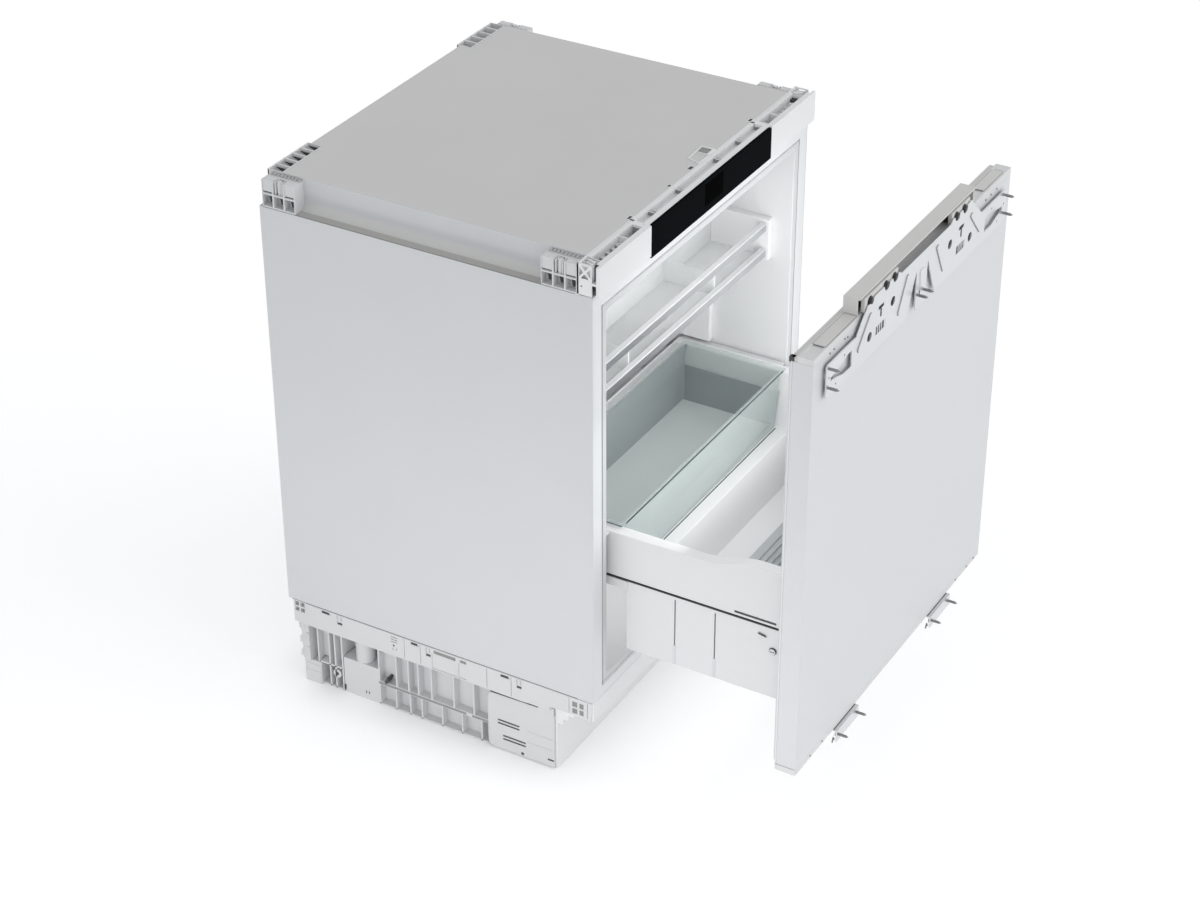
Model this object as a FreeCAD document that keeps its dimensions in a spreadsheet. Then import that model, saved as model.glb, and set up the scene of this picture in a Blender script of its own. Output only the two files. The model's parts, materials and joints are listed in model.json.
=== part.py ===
import FreeCAD, Part
import math
import os
from types import SimpleNamespace

import Sketcher

os.makedirs("parts", exist_ok=True)
doc = FreeCAD.newDocument("undercounter_fridge")

# Driving sizes in millimetres. The origin is on the floor, in the middle of the cabinet.
SIZES = {
    # Whole cabinet
    "width": 597, "height": 820, "body_depth": 506, "base_height": 148, "top_step": 44,
    "steel_sheet": 1, "seam_gap": 0.6, "fit_gap": 0.4, "overrun": 2,
    # Front ring and cavity
    "frame_side": 23, "frame_foot": 19.6, "frame_head": 23, "frame_depth": 12,
    "side_wall": 36.5, "head_wall": 34, "floor_wall": 32, "rear_wall": 56, "liner_wall": 2,
    "step_depth": 190, "step_gap": 16, "step_wall": 30,
    "evaporator_width": 360, "evaporator_height": 300, "evaporator_thickness": 3, "evaporator_head_gap": 20,
    # Stepped lid and fascia
    "lid_inset": 23, "lid_wall": 3, "lid_rear_gap": 6, "lid_notch_width": 114,
    "lid_flange": 1.5, "lid_cove": 14,
    "fascia_proud": 10, "fascia_deck": 22, "fascia_skin": 3, "deck_thickness": 14, "deck_lip": 4,
    "channel_length": 104, "channel_width": 15, "channel_depth": 10, "channel_end": 22,
    "channel_web": 2, "channel_web_height": 5,
    "tab_length": 22, "tab_width": 8, "tab_depth": 3,
    "glass_width": 332, "glass_thickness": 4, "glass_drop": 3, "glass_radius": 5,
    "board_width": 240, "board_height": 20, "board_thickness": 2,
    "light_width": 300, "light_depth": 24, "light_height": 7, "light_setback": 60,
    # Corner blocks on the lid
    "corner_length": 52, "corner_height": 40, "corner_web": 2.5, "corner_cell_depth": 12,
    "corner_boss_radius": 3.5, "rear_rib_depth": 26, "rear_rib_web": 3, "rear_rib_depth_cut": 12,
    # Base
    "base_inset": 14.5, "base_front_inset": 67, "base_rear_inset": 8, "beam_height": 38, "base_wall": 3,
    "base_cell_depth": 30, "base_rib": 2.5, "ledge_rise": 36, "ledge_thickness": 6,
    "pad_plate_width": 60, "pad_plate_height": 62, "pad_plate_rear": 72, "pad_boss_radius": 14,
    "cover_width": 112, "cover_height": 90, "cover_thickness": 2.5, "cover_radius": 9, "cover_rise": 2,
    "cover_slot_length": 34, "cover_slot_height": 3, "cover_slot_gap": 3, "cover_slot_step": 24,
    "cover_slot_rise": 17, "cover_slot_setback": 14, "cover_hole_radius": 2.2,
    "clip_slot_length": 13, "clip_slot_height": 4, "clip_slot_depth": 5,
    "clip_cell": 7, "clip_cell_web": 2.5, "clip_cell_depth": 7,
    "lip_height": 31, "cove_step": 9, "pan_thickness": 3,
    # Levelling feet
    "foot_pad_radius": 16, "foot_pad_height": 5, "foot_stem_radius": 5, "foot_stem_length": 72,
    "foot_stem_gap": 0.08,
    "foot_boss_radius": 20, "foot_boss_height": 12, "foot_tower_radius": 10, "foot_tower_height": 80,
    "foot_inset_side": 30, "foot_inset_end": 34,
    # Machine room
    "compressor_radius": 72, "tray_head_gap": 36, "compressor_crown": 24, "compressor_top_radius": 42,
    "compressor_side_gap": 11, "compressor_rear": 112, "compressor_plate": 3, "compressor_plate_side": 170,
    "mount_radius": 11, "mount_height": 16, "mount_spacing": 140,
    "tray_side": 140, "tray_height": 30, "tray_wall": 2,
    "pipe_radius": 4, "pipe_bend": 22, "pipe_length": 40,
    "condenser_width": 150, "condenser_depth": 70, "condenser_height": 110, "condenser_side_gap": 6,
    "condenser_rear": 150, "condenser_fin": 1.5, "condenser_tube_radius": 4,
    "shroud_side": 130, "shroud_depth": 4, "shroud_gap": 8, "fan_radius": 54, "fan_clearance": 4,
    "fan_hub_radius": 18, "fan_hub_length": 14, "fan_blade_thickness": 2.5, "fan_blade_width": 26,
    "motor_radius": 14, "motor_length": 18, "motor_arm": 6, "motor_shaft_radius": 2,
    "fan_shaft_gap": 0.05,
    "inlet_width": 48, "inlet_height": 32, "inlet_mouth_margin": 6,
    "inlet_side_gap": 21, "grille_thickness": 3, "grille_slot_height": 5, "grille_pitch": 12,
    "grille_margin": 30, "grille_bar": 16,
    # Upper shelf
    "shelf_support_thickness": 11, "shelf_setback": 31, "shelf_support_length": 270,
    "shelf_support_height": 64, "shelf_head_gap": 112, "shelf_leg_setback": 92, "shelf_leg_gap": 4,
    "shelf_glass_thickness": 4, "shelf_glass_rise": 8, "bar_depth": 8, "bar_height": 12, "bar_setback": 4,
    "bar_upper_drop": 6, "bar_lower_rise": 5, "bar_end_gap": 0.3,
    "divider_height": 34, "divider_thickness": 3, "divider_setback": 92,
    # Pull-out front
    "rest_travel": 268, "seal_gap": 6, "seal_width": 22, "seal_edge": 8, "seal_clearance": 0.5,
    "panel_thickness": 31, "panel_drop": 2, "cap_head": 9, "cap_foot": 10, "cap_depth": 22,
    "cap_insert_length": 88, "cap_insert_margin": 16, "cap_insert_depth": 1.2, "cap_insert_edge": 4,
    "door_liner_thickness": 3, "plateau_margin": 42, "plateau_foot": 44, "plateau_depth": 12,
    "plateau_head": 46,
    # Furniture front bracket
    "housing_width": 352, "housing_height": 24, "housing_wall": 2, "housing_front_gap": 2,
    "bracket_gap": 4, "bracket_thickness": 2, "bracket_end_gap": 25.5, "bracket_arm_height": 48,
    "bracket_arm_drop": 67, "bracket_rise": 38, "bracket_crown_half": 150, "bracket_shoulder": 40,
    "bracket_notch_half": 44, "bracket_notch_apex_half": 17, "bracket_notch_height": 58,
    "bracket_tab_half": 15,
    "bracket_hole_radius": 6.5, "bracket_outer_hole": 153, "bracket_inner_hole": 87,
    "bracket_outer_hole_rise": 29, "bracket_inner_hole_rise": 48,
    "arm_slot_length": 58, "arm_slot_height": 12, "arm_slot_gap": 66.5,
    "adjuster_radius": 7, "adjuster_drop": 4, "adjuster_inner_offset": 82, "adjuster_middle_offset": 107,
    "adjuster_outer_offset": 132, "adjuster_end_offset": 152,
    "screw_radius": 2, "screw_length": 15, "screw_tip": 4, "screw_head_radius": 4.2, "screw_head_height": 2,
    "screw_clearance": 0.2, "screw_neck_length": 1.5,
    "end_screw_gap": 32.5, "end_screw_drop": 7, "end_screw_pitch": 27,
    "tab_screw_half": 9, "tab_screw_rise": 19,
    "foot_bracket_offset": 151, "foot_bracket_half": 34, "foot_bracket_height": 18,
    "foot_bracket_thickness": 2,
    "foot_bracket_reach": 20, "foot_screw_half": 28, "foot_screw_drop": 8.5,
    # Drawer tub, mat and bin
    "tub_side_gap": 12, "tub_wall": 3, "rail_room": 15, "tub_rim": 402, "tub_floor_height": 218,
    "tub_length": 434, "bay_length": 240, "tray_depth": 94, "rail_cover_height": 66.5,
    "rail_gap_height": 6,
    "wave_rise": 16, "skirt_inset": 2, "skirt_slit": 1.6,
    "mat_length": 190, "mat_side_gap": 22, "mat_base": 2, "mat_rib_height": 3, "mat_rib_pitch": 10,
    "mat_rib": 4,
    "bin_rim_width": 5, "bin_rim_height": 4, "bin_rim_length": 168, "bin_side_gap": 6,
    "bin_taper": 16,
    "bin_wall": 3, "bin_floor_length": 154, "bin_front_inset": 5, "bin_rear_gap": 15,
    # Telescopic rails
    "rail_plate": 2, "rail_thin": 1.5, "rail_play": 0.6, "rail_head_gap": 16, "rail_wall_height": 40,
    "rail_length": 430, "middle_length": 420, "rail_front_gap": 8, "middle_lip": 5.5,
}

sheet = doc.addObject("Spreadsheet::Sheet", "Sizes")
for row, (alias, number) in enumerate(SIZES.items(), start=1):
    sheet.set(f"A{row}", alias)
    sheet.set(f"B{row}", str(number))
    sheet.setAlias(f"B{row}", alias)
doc.recompute()


class Size:
    """A length that knows its number and the formula of named sizes it came from."""

    def __init__(self, number, text):
        self.number = number
        self.text = text

    def __add__(self, other):
        other = as_size(other)
        return Size(self.number + other.number, f"({self.text} + {other.text})")

    def __radd__(self, other):
        return as_size(other) + self

    def __sub__(self, other):
        other = as_size(other)
        return Size(self.number - other.number, f"({self.text} - {other.text})")

    def __rsub__(self, other):
        return as_size(other) - self

    def __mul__(self, factor):
        return Size(self.number * factor, f"({self.text} * {factor})")

    __rmul__ = __mul__

    def __truediv__(self, factor):
        return Size(self.number / factor, f"({self.text} / {factor})")

    def __neg__(self):
        return Size(-self.number, f"(-1 * {self.text})")


def as_size(item):
    """A plain number becomes a size with itself as formula."""
    return item if isinstance(item, Size) else Size(item, str(item))


size = SimpleNamespace(**{alias: Size(float(sheet.get(alias)), f"Sizes.{alias}") for alias in SIZES})
nodes = []


def bind(item, name, length):
    """Ties one property of an object to a formula of the sheet."""
    item.setExpression(name, as_size(length).text)


def place(item, x, y, z):
    """Ties an object's place to the sheet."""
    for axis, length in zip("xyz", (x, y, z)):
        bind(item, f"Placement.Base.{axis}", length)


def node(item, label):
    """Keeps an object as one named piece of the fridge."""
    item.Label = label
    nodes.append(item)
    return item


def box(name, x, y, z):
    """A block between two corners."""
    block = doc.addObject("Part::Box", name)
    for side, (low, high) in zip(("Length", "Width", "Height"), (x, y, z)):
        bind(block, side, as_size(high) - low)
    place(block, x[0], y[0], z[0])
    return block


TURNS = {
    "x": FreeCAD.Rotation(FreeCAD.Vector(0, 1, 0), 90),
    "y": FreeCAD.Rotation(FreeCAD.Vector(1, 0, 0), -90),
    "z": FreeCAD.Rotation(),
}


def rod(name, axis, start, length, radius):
    """A round bar from a start point along +X, +Y or +Z."""
    bar = doc.addObject("Part::Cylinder", name)
    bar.Placement = FreeCAD.Placement(FreeCAD.Vector(), TURNS[axis])
    bind(bar, "Radius", radius)
    bind(bar, "Height", length)
    place(bar, *start)
    return bar


def cone(name, axis, start, length, low_radius, high_radius):
    """A tapered round bar from a start point along +X, +Y or +Z."""
    bar = doc.addObject("Part::Cone", name)
    bar.Placement = FreeCAD.Placement(FreeCAD.Vector(), TURNS[axis])
    bind(bar, "Radius1", low_radius)
    bind(bar, "Radius2", high_radius)
    bind(bar, "Height", length)
    place(bar, *start)
    return bar


def fuse(name, pieces):
    """One solid from touching pieces."""
    joined = doc.addObject("Part::MultiFuse", name)
    joined.Shapes = list(pieces)
    joined.Refine = True
    return joined


def group(name, pieces):
    """Separate solids kept together."""
    kept = doc.addObject("Part::Compound", name)
    kept.Links = list(pieces)
    return kept


def cut(name, base, tools):
    """A solid with pieces taken away."""
    tools = list(tools)
    carved = doc.addObject("Part::Cut", name)
    carved.Base = base
    carved.Tool = tools[0] if len(tools) == 1 else fuse(f"{name}_tools", tools)
    carved.Refine = True
    return carved


def mirrored(item, label):
    """The right-hand twin of a left-hand piece."""
    twin = doc.addObject("Part::Mirroring", label)
    twin.Source = item
    twin.Base = FreeCAD.Vector(0, 0, 0)
    twin.Normal = FreeCAD.Vector(1, 0, 0)
    return node(twin, label)


def outline(body, name, plane, points):
    """A closed outline on one of a body's own planes, each corner tied to the sheet."""
    sketch = body.newObject("Sketcher::SketchObject", name)
    support = [feature for feature in body.Origin.OriginFeatures if feature.Role == plane][0]
    sketch.AttachmentSupport = [(support, "")]
    sketch.MapMode = "FlatFace"
    corners = [(as_size(across), as_size(up)) for across, up in points]
    vectors = [FreeCAD.Vector(across.number, up.number, 0) for across, up in corners]
    for index, start in enumerate(vectors):
        end = vectors[(index + 1) % len(vectors)]
        sketch.addGeometry(Part.LineSegment(start, end))
    for index, (across, up) in enumerate(corners):
        follower = (index + 1) % len(corners)
        sketch.addConstraint(Sketcher.Constraint("Coincident", index, 2, follower, 1))
    for index, (across, up) in enumerate(corners):
        for kind, length in (("DistanceX", across), ("DistanceY", up)):
            place_index = sketch.addConstraint(Sketcher.Constraint(kind, -1, 1, index, 1, length.number))
            sketch.setExpression(f"Constraints[{place_index}]", length.text)
    return sketch


def bar_body(name, plane, points, length):
    """A profile pulled to a length, half of it each way from its plane."""
    body = doc.addObject("PartDesign::Body", name)
    sketch = outline(body, f"{name}_outline", plane, points)
    pad = body.newObject("PartDesign::Pad", f"{name}_pad")
    pad.Profile = sketch
    pad.Midplane = True
    bind(pad, "Length", length)
    return body


def share(low, high, part_share):
    """A point a given share of the way between two lengths."""
    return low + (as_size(high) - low) * part_share


# Main planes of the cabinet
half = size.width / 2
front = -size.body_depth / 2
rear = size.body_depth / 2
side_top = size.height - size.top_step
sheet_half = half - size.steel_sheet
over = size.overrun


# Painted steel skin
left_sheet = box("side_sheet_left", (-half, -sheet_half), (front, rear), (size.base_height, side_top))
mirrored(node(left_sheet, "side_sheet_left"), "side_sheet_right")

# Cavity and its rear step over the machine room
cavity_half = half - size.side_wall
cavity_floor = size.base_height + size.floor_wall
cavity_top = side_top - size.head_wall
cavity_rear = rear - size.rear_wall
step_front = cavity_rear - size.step_depth
tray_floor = size.tub_rim - size.tray_depth
step_top = tray_floor - size.step_gap
machine_front = step_front + size.step_wall
machine_top = step_top - size.step_wall

groove_half = half - size.frame_side
groove_foot = size.base_height + size.frame_foot
groove_head = side_top - size.frame_head
frame_back = front + size.frame_depth

frame_ring = cut(
    "front_frame",
    box("frame_block", (-sheet_half, sheet_half), (front, frame_back), (size.base_height, side_top)),
    [
        box(
            "frame_window",
            (-groove_half, groove_half),
            (front - over, frame_back + over),
            (groove_foot, groove_head),
        )
    ],
)
node(frame_ring, "front_frame")


def cavity_shape(name, grow, mouth):
    """The cavity with its rear step, grown by a wall and cut off at its mouth."""
    room = box(
        f"{name}_room",
        (-cavity_half - grow, cavity_half + grow),
        (mouth, cavity_rear + grow),
        (cavity_floor - grow, cavity_top + grow),
    )
    step = box(
        f"{name}_step",
        (-cavity_half - grow - over, cavity_half + grow + over),
        (step_front + grow, cavity_rear + grow + over),
        (cavity_floor - grow - over, step_top - grow),
    )
    return cut(f"{name}_shape", room, [step])


flange_half = groove_half - size.seam_gap
liner_flange = box(
    "liner_flange",
    (-flange_half, flange_half),
    (front, frame_back),
    (groove_foot + size.seam_gap, groove_head - size.seam_gap),
)
liner_body = fuse("liner_body", [liner_flange, cavity_shape("liner_outer", size.liner_wall, front)])
liner = cut("inner_liner", liner_body, [cavity_shape("liner_inner", 0, front - over)])
node(liner, "inner_liner")

# Evaporator plate on the back of the liner
evaporator_back = cavity_rear + size.liner_wall + size.evaporator_thickness
evaporator_foot = cavity_top - size.evaporator_head_gap - size.evaporator_height


def evaporator_block(name):
    return box(
        name,
        (-size.evaporator_width / 2, size.evaporator_width / 2),
        (cavity_rear + size.liner_wall, evaporator_back),
        (evaporator_foot, evaporator_foot + size.evaporator_height),
    )


node(evaporator_block("evaporator_plate"), "evaporator_plate")

# Stepped lid with notched rear corners
lid_half = half - size.lid_inset
deck_back = front + size.fascia_deck
lid_front = deck_back
lid_rear = rear - size.lid_rear_gap
notch_half = half - size.lid_notch_width
rib_low = rear - size.rear_rib_depth


def lid_block(name, grow, foot, head):
    """The lid's plan, drawn in by a wall, between two heights."""
    plan = box(
        f"{name}_plan", (-lid_half + grow, lid_half - grow), (lid_front + grow, lid_rear - grow), (foot, head)
    )
    notches = [
        box(
            f"{name}_notch_{side}",
            low_high,
            (rib_low - size.fit_gap - grow, lid_rear + over),
            (foot - over, head + over),
        )
        for side, low_high in (
            ("left", (-half - over, -notch_half + grow)),
            ("right", (notch_half - grow, half + over)),
        )
    ]
    return cut(f"{name}_shape", plan, notches)


# Its skirt stands on a flat flange between the side sheets, with a cove along each side
lid_under = size.height - size.lid_wall
foam_rear = rear - size.steel_sheet
flange_under = side_top - size.lid_flange
cove_front = deck_back + size.corner_length
cove_rear = lid_rear - size.corner_length
cove_arc_shares = [
    (1 - math.sin(math.radians(turn)), 1 - math.cos(math.radians(turn))) for turn in (0, 18, 36, 54, 72, 90)
]
cove = bar_body(
    "lid_cove",
    "XZ_Plane",
    [(lid_half - size.lid_wall, side_top)]
    + [
        (lid_half + size.lid_cove * across_share, side_top + size.lid_cove * up_share)
        for across_share, up_share in cove_arc_shares
    ]
    + [(lid_half - size.lid_wall, side_top + size.lid_cove)],
    cove_rear - cove_front,
)
place(cove, 0, (cove_front + cove_rear) / 2, 0)
cove_twin = doc.addObject("Part::Mirroring", "lid_cove_twin")
cove_twin.Source = cove
cove_twin.Normal = FreeCAD.Vector(1, 0, 0)
lid_shell = fuse(
    "lid_shell",
    [
        lid_block("lid_outer", 0, side_top, size.height),
        box("lid_flange_plate", (-sheet_half, sheet_half), (frame_back, foam_rear), (flange_under, side_top)),
        cove,
        cove_twin,
    ],
)
lid = cut("top_plate", lid_shell, [lid_block("lid_inner", size.lid_wall, flange_under - over, lid_under)])
node(lid, "top_plate")

# Foam between the skin, the lid and the cavity
foam_block = fuse(
    "foam_block",
    [
        box(
            "foam_body",
            (-sheet_half, sheet_half),
            (frame_back, foam_rear),
            (size.base_height, flange_under),
        ),
        lid_block("foam_lid", size.lid_wall, flange_under, lid_under),
    ],
)
machine_room = box(
    "machine_room",
    (-half, half),
    (machine_front, rear + over),
    (size.base_height - over, machine_top),
)
foam = cut(
    "insulation_foam",
    foam_block,
    [
        cavity_shape("foam_cavity", size.liner_wall, front),
        evaporator_block("foam_pocket"),
        machine_room,
    ],
)
node(foam, "insulation_foam")

back_sheet = box("rear_panel", (-sheet_half, sheet_half), (foam_rear, rear), (machine_top, side_top))
node(back_sheet, "rear_panel")

# Slotted cover of the machine room
grille_low = size.base_height
grille_slot_count = 8
grille_slots = []
for slot_row in range(grille_slot_count):
    slot_low = grille_low + size.grille_bar + size.grille_pitch * slot_row
    for side, low_high in (
        ("left", (-sheet_half + size.grille_margin, -size.grille_bar)),
        ("right", (size.grille_bar, sheet_half - size.grille_margin)),
    ):
        grille_slots.append(
            box(
                f"grille_slot_{side}_{slot_row}",
                low_high,
                (rear - size.grille_thickness - over, rear + over),
                (slot_low, slot_low + size.grille_slot_height),
            )
        )
grille_plate = box(
    "grille_plate",
    (-sheet_half, sheet_half),
    (rear - size.grille_thickness, rear),
    (grille_low, machine_top),
)
node(cut("rear_grille", grille_plate, grille_slots), "rear_grille")

# Fascia bar with its deck, channels and control window
fascia_front = front - size.fascia_proud
deck_under = size.height - size.deck_thickness
window_half = size.glass_width / 2
fascia_back = front + size.fascia_skin
fascia_plate = box("fascia_plate", (-half, half), (fascia_front, fascia_back), (side_top, size.height))
fascia_deck = box("fascia_deck", (-half, half), (fascia_front, deck_back), (deck_under, size.height))
fascia_cuts = [
    box(
        "fascia_window",
        (-window_half - size.fit_gap, window_half + size.fit_gap),
        (fascia_front - over, fascia_front + size.glass_thickness),
        (side_top - over, size.height + over),
    )
]
channel_front = front + size.deck_lip - size.fascia_proud / 2
channel_floor = size.height - size.channel_depth
for side, sign in (("left", -1), ("right", 1)):
    outer = sign * (half - size.channel_end)
    inner = sign * (half - size.channel_end - size.channel_length)
    low, high = (outer, inner) if sign < 0 else (inner, outer)
    channel = box(
        f"channel_{side}",
        (low, high),
        (channel_front, channel_front + size.channel_width),
        (channel_floor, size.height + over),
    )
    webs = [
        box(
            f"channel_web_{side}_{web}",
            (share(low, high, web_share), share(low, high, web_share) + size.channel_web),
            (channel_front - over, channel_front + size.channel_width + over),
            (channel_floor - over, channel_floor + size.channel_web_height),
        )
        for web, web_share in enumerate((0.25, 0.38, 0.62, 0.75))
    ]
    fascia_cuts.append(cut(f"channel_cells_{side}", channel, webs))
tab_shares = (0.30, 0.42, 0.59, 0.70)
for tab, tab_share in enumerate(tab_shares):
    tab_low = share(-half, half, tab_share)
    fascia_cuts.append(
        box(
            f"deck_tab_{tab}",
            (tab_low, tab_low + size.tab_length),
            (deck_back - size.tab_width, deck_back + over),
            (size.height - size.tab_depth, size.height + over),
        )
    )
end_webs = [
    box(f"fascia_end_{side}", low_high, (fascia_back, deck_back), (side_top, deck_under))
    for side, low_high in (
        ("left", (-half, -half + size.fascia_skin)),
        ("right", (half - size.fascia_skin, half)),
    )
]
fascia_block = fuse("fascia_block", [fascia_plate, fascia_deck] + end_webs)
node(cut("fascia_bar", fascia_block, fascia_cuts), "fascia_bar")


# Touch glass with rounded upper corners
glass_body = doc.addObject("PartDesign::Body", "control_glass")
glass_foot = side_top - size.glass_drop
glass_sketch = outline(
    glass_body,
    "glass_outline",
    "XZ_Plane",
    [
        (-window_half, glass_foot),
        (window_half, glass_foot),
        (window_half, size.height),
        (-window_half, size.height),
    ],
)
glass_pad = glass_body.newObject("PartDesign::Pad", "glass_pad")
glass_pad.Profile = glass_sketch
bind(glass_pad, "Length", size.glass_thickness)
doc.recompute()
glass_corners = [
    f"Edge{index + 1}"
    for index, edge in enumerate(glass_pad.Shape.Edges)
    if edge.BoundBox.YLength > edge.BoundBox.ZLength + edge.BoundBox.XLength
    and edge.CenterOfMass.z > glass_pad.Shape.CenterOfMass.z
]
glass_fillet = glass_body.newObject("PartDesign::Fillet", "glass_fillet")
glass_fillet.Base = (glass_pad, glass_corners)
bind(glass_fillet, "Radius", size.glass_radius)
place(glass_body, 0, fascia_front + size.glass_thickness, 0)
node(glass_body, "control_glass")

board_middle = (side_top + deck_under) / 2
node(
    box(
        "control_board",
        (-size.board_width / 2, size.board_width / 2),
        (front + size.fascia_skin, front + size.fascia_skin + size.board_thickness),
        (board_middle - size.board_height / 2, board_middle + size.board_height / 2),
    ),
    "control_board",
)

# Lamp lens under the cavity's ceiling
light_front = front + size.light_setback
node(
    box(
        "light_strip",
        (-size.light_width / 2, size.light_width / 2),
        (light_front, light_front + size.light_depth),
        (cavity_top - size.light_height, cavity_top),
    ),
    "light_strip",
)

# Ribbed corner blocks beside the lid
corner_head = side_top + size.corner_height


def corner_block(name, front_end):
    """A block of open square cells that faces outwards, with a row of upright webs on top."""
    back_end = front_end + size.corner_length
    body = box(f"{name}_body", (-half, -lid_half), (front_end, back_end), (side_top, corner_head))
    cells = []
    for column, cell_share in enumerate((0.0, 1 / 3, 2 / 3)):
        cell_low = share(front_end, back_end, cell_share) + size.corner_web / 2
        cell_high = share(front_end, back_end, cell_share + 1 / 3) - size.corner_web / 2
        middle = (side_top + corner_head) / 2
        for row_name, low, high in (
            ("low", side_top + size.corner_web, middle - size.corner_web / 2),
            ("high", middle + size.corner_web / 2, corner_head + over),
        ):
            cells.append(
                box(
                    f"{name}_cell_{row_name}_{column}",
                    (-half - over, -half + size.corner_cell_depth),
                    (cell_low, cell_high),
                    (low, high),
                )
            )
    boss = rod(
        f"{name}_boss",
        "z",
        (-half + size.corner_cell_depth / 2, share(front_end, back_end, 0.5), (side_top + corner_head) / 2),
        size.corner_height / 2,
        size.corner_boss_radius,
    )
    return fuse(f"{name}_block", [cut(f"{name}_cells", body, cells), boss])


front_corner = corner_block("front_corner", deck_back)
mirrored(node(front_corner, "top_corner_front_left"), "top_corner_front_right")

rear_corner_front = lid_rear - size.corner_length
rib_floor = box("rear_rib_block", (-lid_half, -notch_half), (rib_low, rear), (side_top, size.height))
rib_cells = []
rear_cell_count = 5
rib_run_low = -lid_half
for cell in range(rear_cell_count):
    cell_low = share(rib_run_low, -notch_half, cell / rear_cell_count)
    cell_high = share(rib_run_low, -notch_half, (cell + 1) / rear_cell_count)
    rib_cells.append(
        box(
            f"rear_rib_cell_{cell}",
            (cell_low + size.rear_rib_web / 2, cell_high - size.rear_rib_web / 2),
            (rib_low + size.rear_rib_web, rear + over),
            (size.height - size.rear_rib_depth_cut, size.height + over),
        )
    )
rear_strip = cut("rear_strip", rib_floor, rib_cells)
rear_corner = fuse("rear_corner_piece", [corner_block("rear_corner", rear_corner_front), rear_strip])
mirrored(node(rear_corner, "top_corner_rear_left"), "top_corner_rear_right")

# Base: pan, ribbed side walls, plinth and service covers
base_half = half - size.base_inset
base_front = front + size.base_front_inset
base_rear = rear - size.base_rear_inset
beam_low = size.base_height - size.beam_height
cell_back = base_half - size.base_cell_depth
wall_back = cell_back - size.base_wall
plinth_back = base_front + size.base_wall

cover_rear = base_front + size.cover_width
plate_rear = base_rear - size.pad_plate_rear
plate_front = plate_rear - size.pad_plate_width

side_pieces = [
    box("base_wall_plate", (-cell_back, -wall_back), (plinth_back, base_rear), (0, size.base_height)),
    box("base_beam", (-half, -wall_back), (plinth_back, base_rear), (beam_low, size.base_height)),
    box(
        "base_ledge",
        (-base_half, -wall_back),
        (cover_rear, plate_front),
        (size.ledge_rise, size.ledge_rise + size.ledge_thickness),
    ),
    box("base_pad_plate", (-base_half, -wall_back), (plate_front, plate_rear), (0, size.pad_plate_height)),
    rod(
        "base_pad_boss",
        "z",
        (-base_half + size.pad_boss_radius, (plate_front + plate_rear) / 2, size.pad_plate_height - over),
        beam_low - size.pad_plate_height + 2 * over,
        size.pad_boss_radius,
    ),
    box(
        "base_cover_seat",
        (-base_half, -wall_back),
        (plinth_back, cover_rear - size.cover_radius),
        (0, beam_low),
    ),
]
upper_rib_shares = (0.0, 0.16, 0.27, 0.36, 0.48, 0.68, 0.86)
for rib, rib_share in enumerate(upper_rib_shares):
    rib_place = share(plate_front, cover_rear, rib_share)
    side_pieces.append(
        box(
            f"base_upper_rib_{rib}",
            (-base_half, -wall_back),
            (rib_place - size.base_rib, rib_place),
            (size.ledge_rise, beam_low + over),
        )
    )
lower_rib_shares = (0.0, 0.15, 0.28, 0.385, 0.57, 0.75, 0.925)
for rib, rib_share in enumerate(lower_rib_shares):
    rib_place = share(plate_front, cover_rear, rib_share)
    side_pieces.append(
        box(
            f"base_lower_rib_{rib}",
            (-base_half, -wall_back),
            (rib_place - size.base_rib, rib_place),
            (0, size.ledge_rise + over),
        )
    )
rear_rib_shares = (0.02, 0.2, 0.34, 0.62, 0.8, 0.96)
for rib, rib_share in enumerate(rear_rib_shares):
    rib_place = share(plate_rear, base_rear - size.base_rib, rib_share)
    side_pieces.append(
        box(
            f"base_rear_rib_{rib}",
            (-base_half, -wall_back),
            (rib_place, rib_place + size.base_rib),
            (0, beam_low + over),
        )
    )
side_cuts = []
clip_shares = (0.10, 0.455, 0.815)
for clip, clip_share in enumerate(clip_shares):
    clip_rear = share(base_rear, plinth_back, clip_share)
    side_cuts.append(
        box(
            f"base_clip_slot_{clip}",
            (-half - over, -half + size.clip_slot_depth),
            (clip_rear - size.clip_slot_length, clip_rear),
            (size.base_height - 2 * size.clip_slot_height, size.base_height - size.clip_slot_height),
        )
    )
clip_pitch = size.clip_cell + size.clip_cell_web


def clip_cells(name, across, last):
    """Four open cells in a square, the rearmost ending at a given place."""
    cells = []
    for column in range(2):
        for level in range(2):
            cell_high = last - clip_pitch * column
            cell_top = size.base_height - size.clip_cell_web - clip_pitch * level
            cells.append(
                box(
                    f"{name}_{column}_{level}",
                    across,
                    (cell_high - size.clip_cell, cell_high),
                    (cell_top - size.clip_cell, cell_top),
                )
            )
    return cells


left_across = (-half - over, -half + size.clip_cell_depth)
right_across = (half - size.clip_cell_depth, half + over)
side_cuts += clip_cells("base_clip_cell", left_across, base_rear - size.clip_cell_web)
base_side = cut("base_side_left", fuse("base_side_block", side_pieces), side_cuts)
mirrored(node(base_side, "base_side_left"), "base_side_right")

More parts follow.
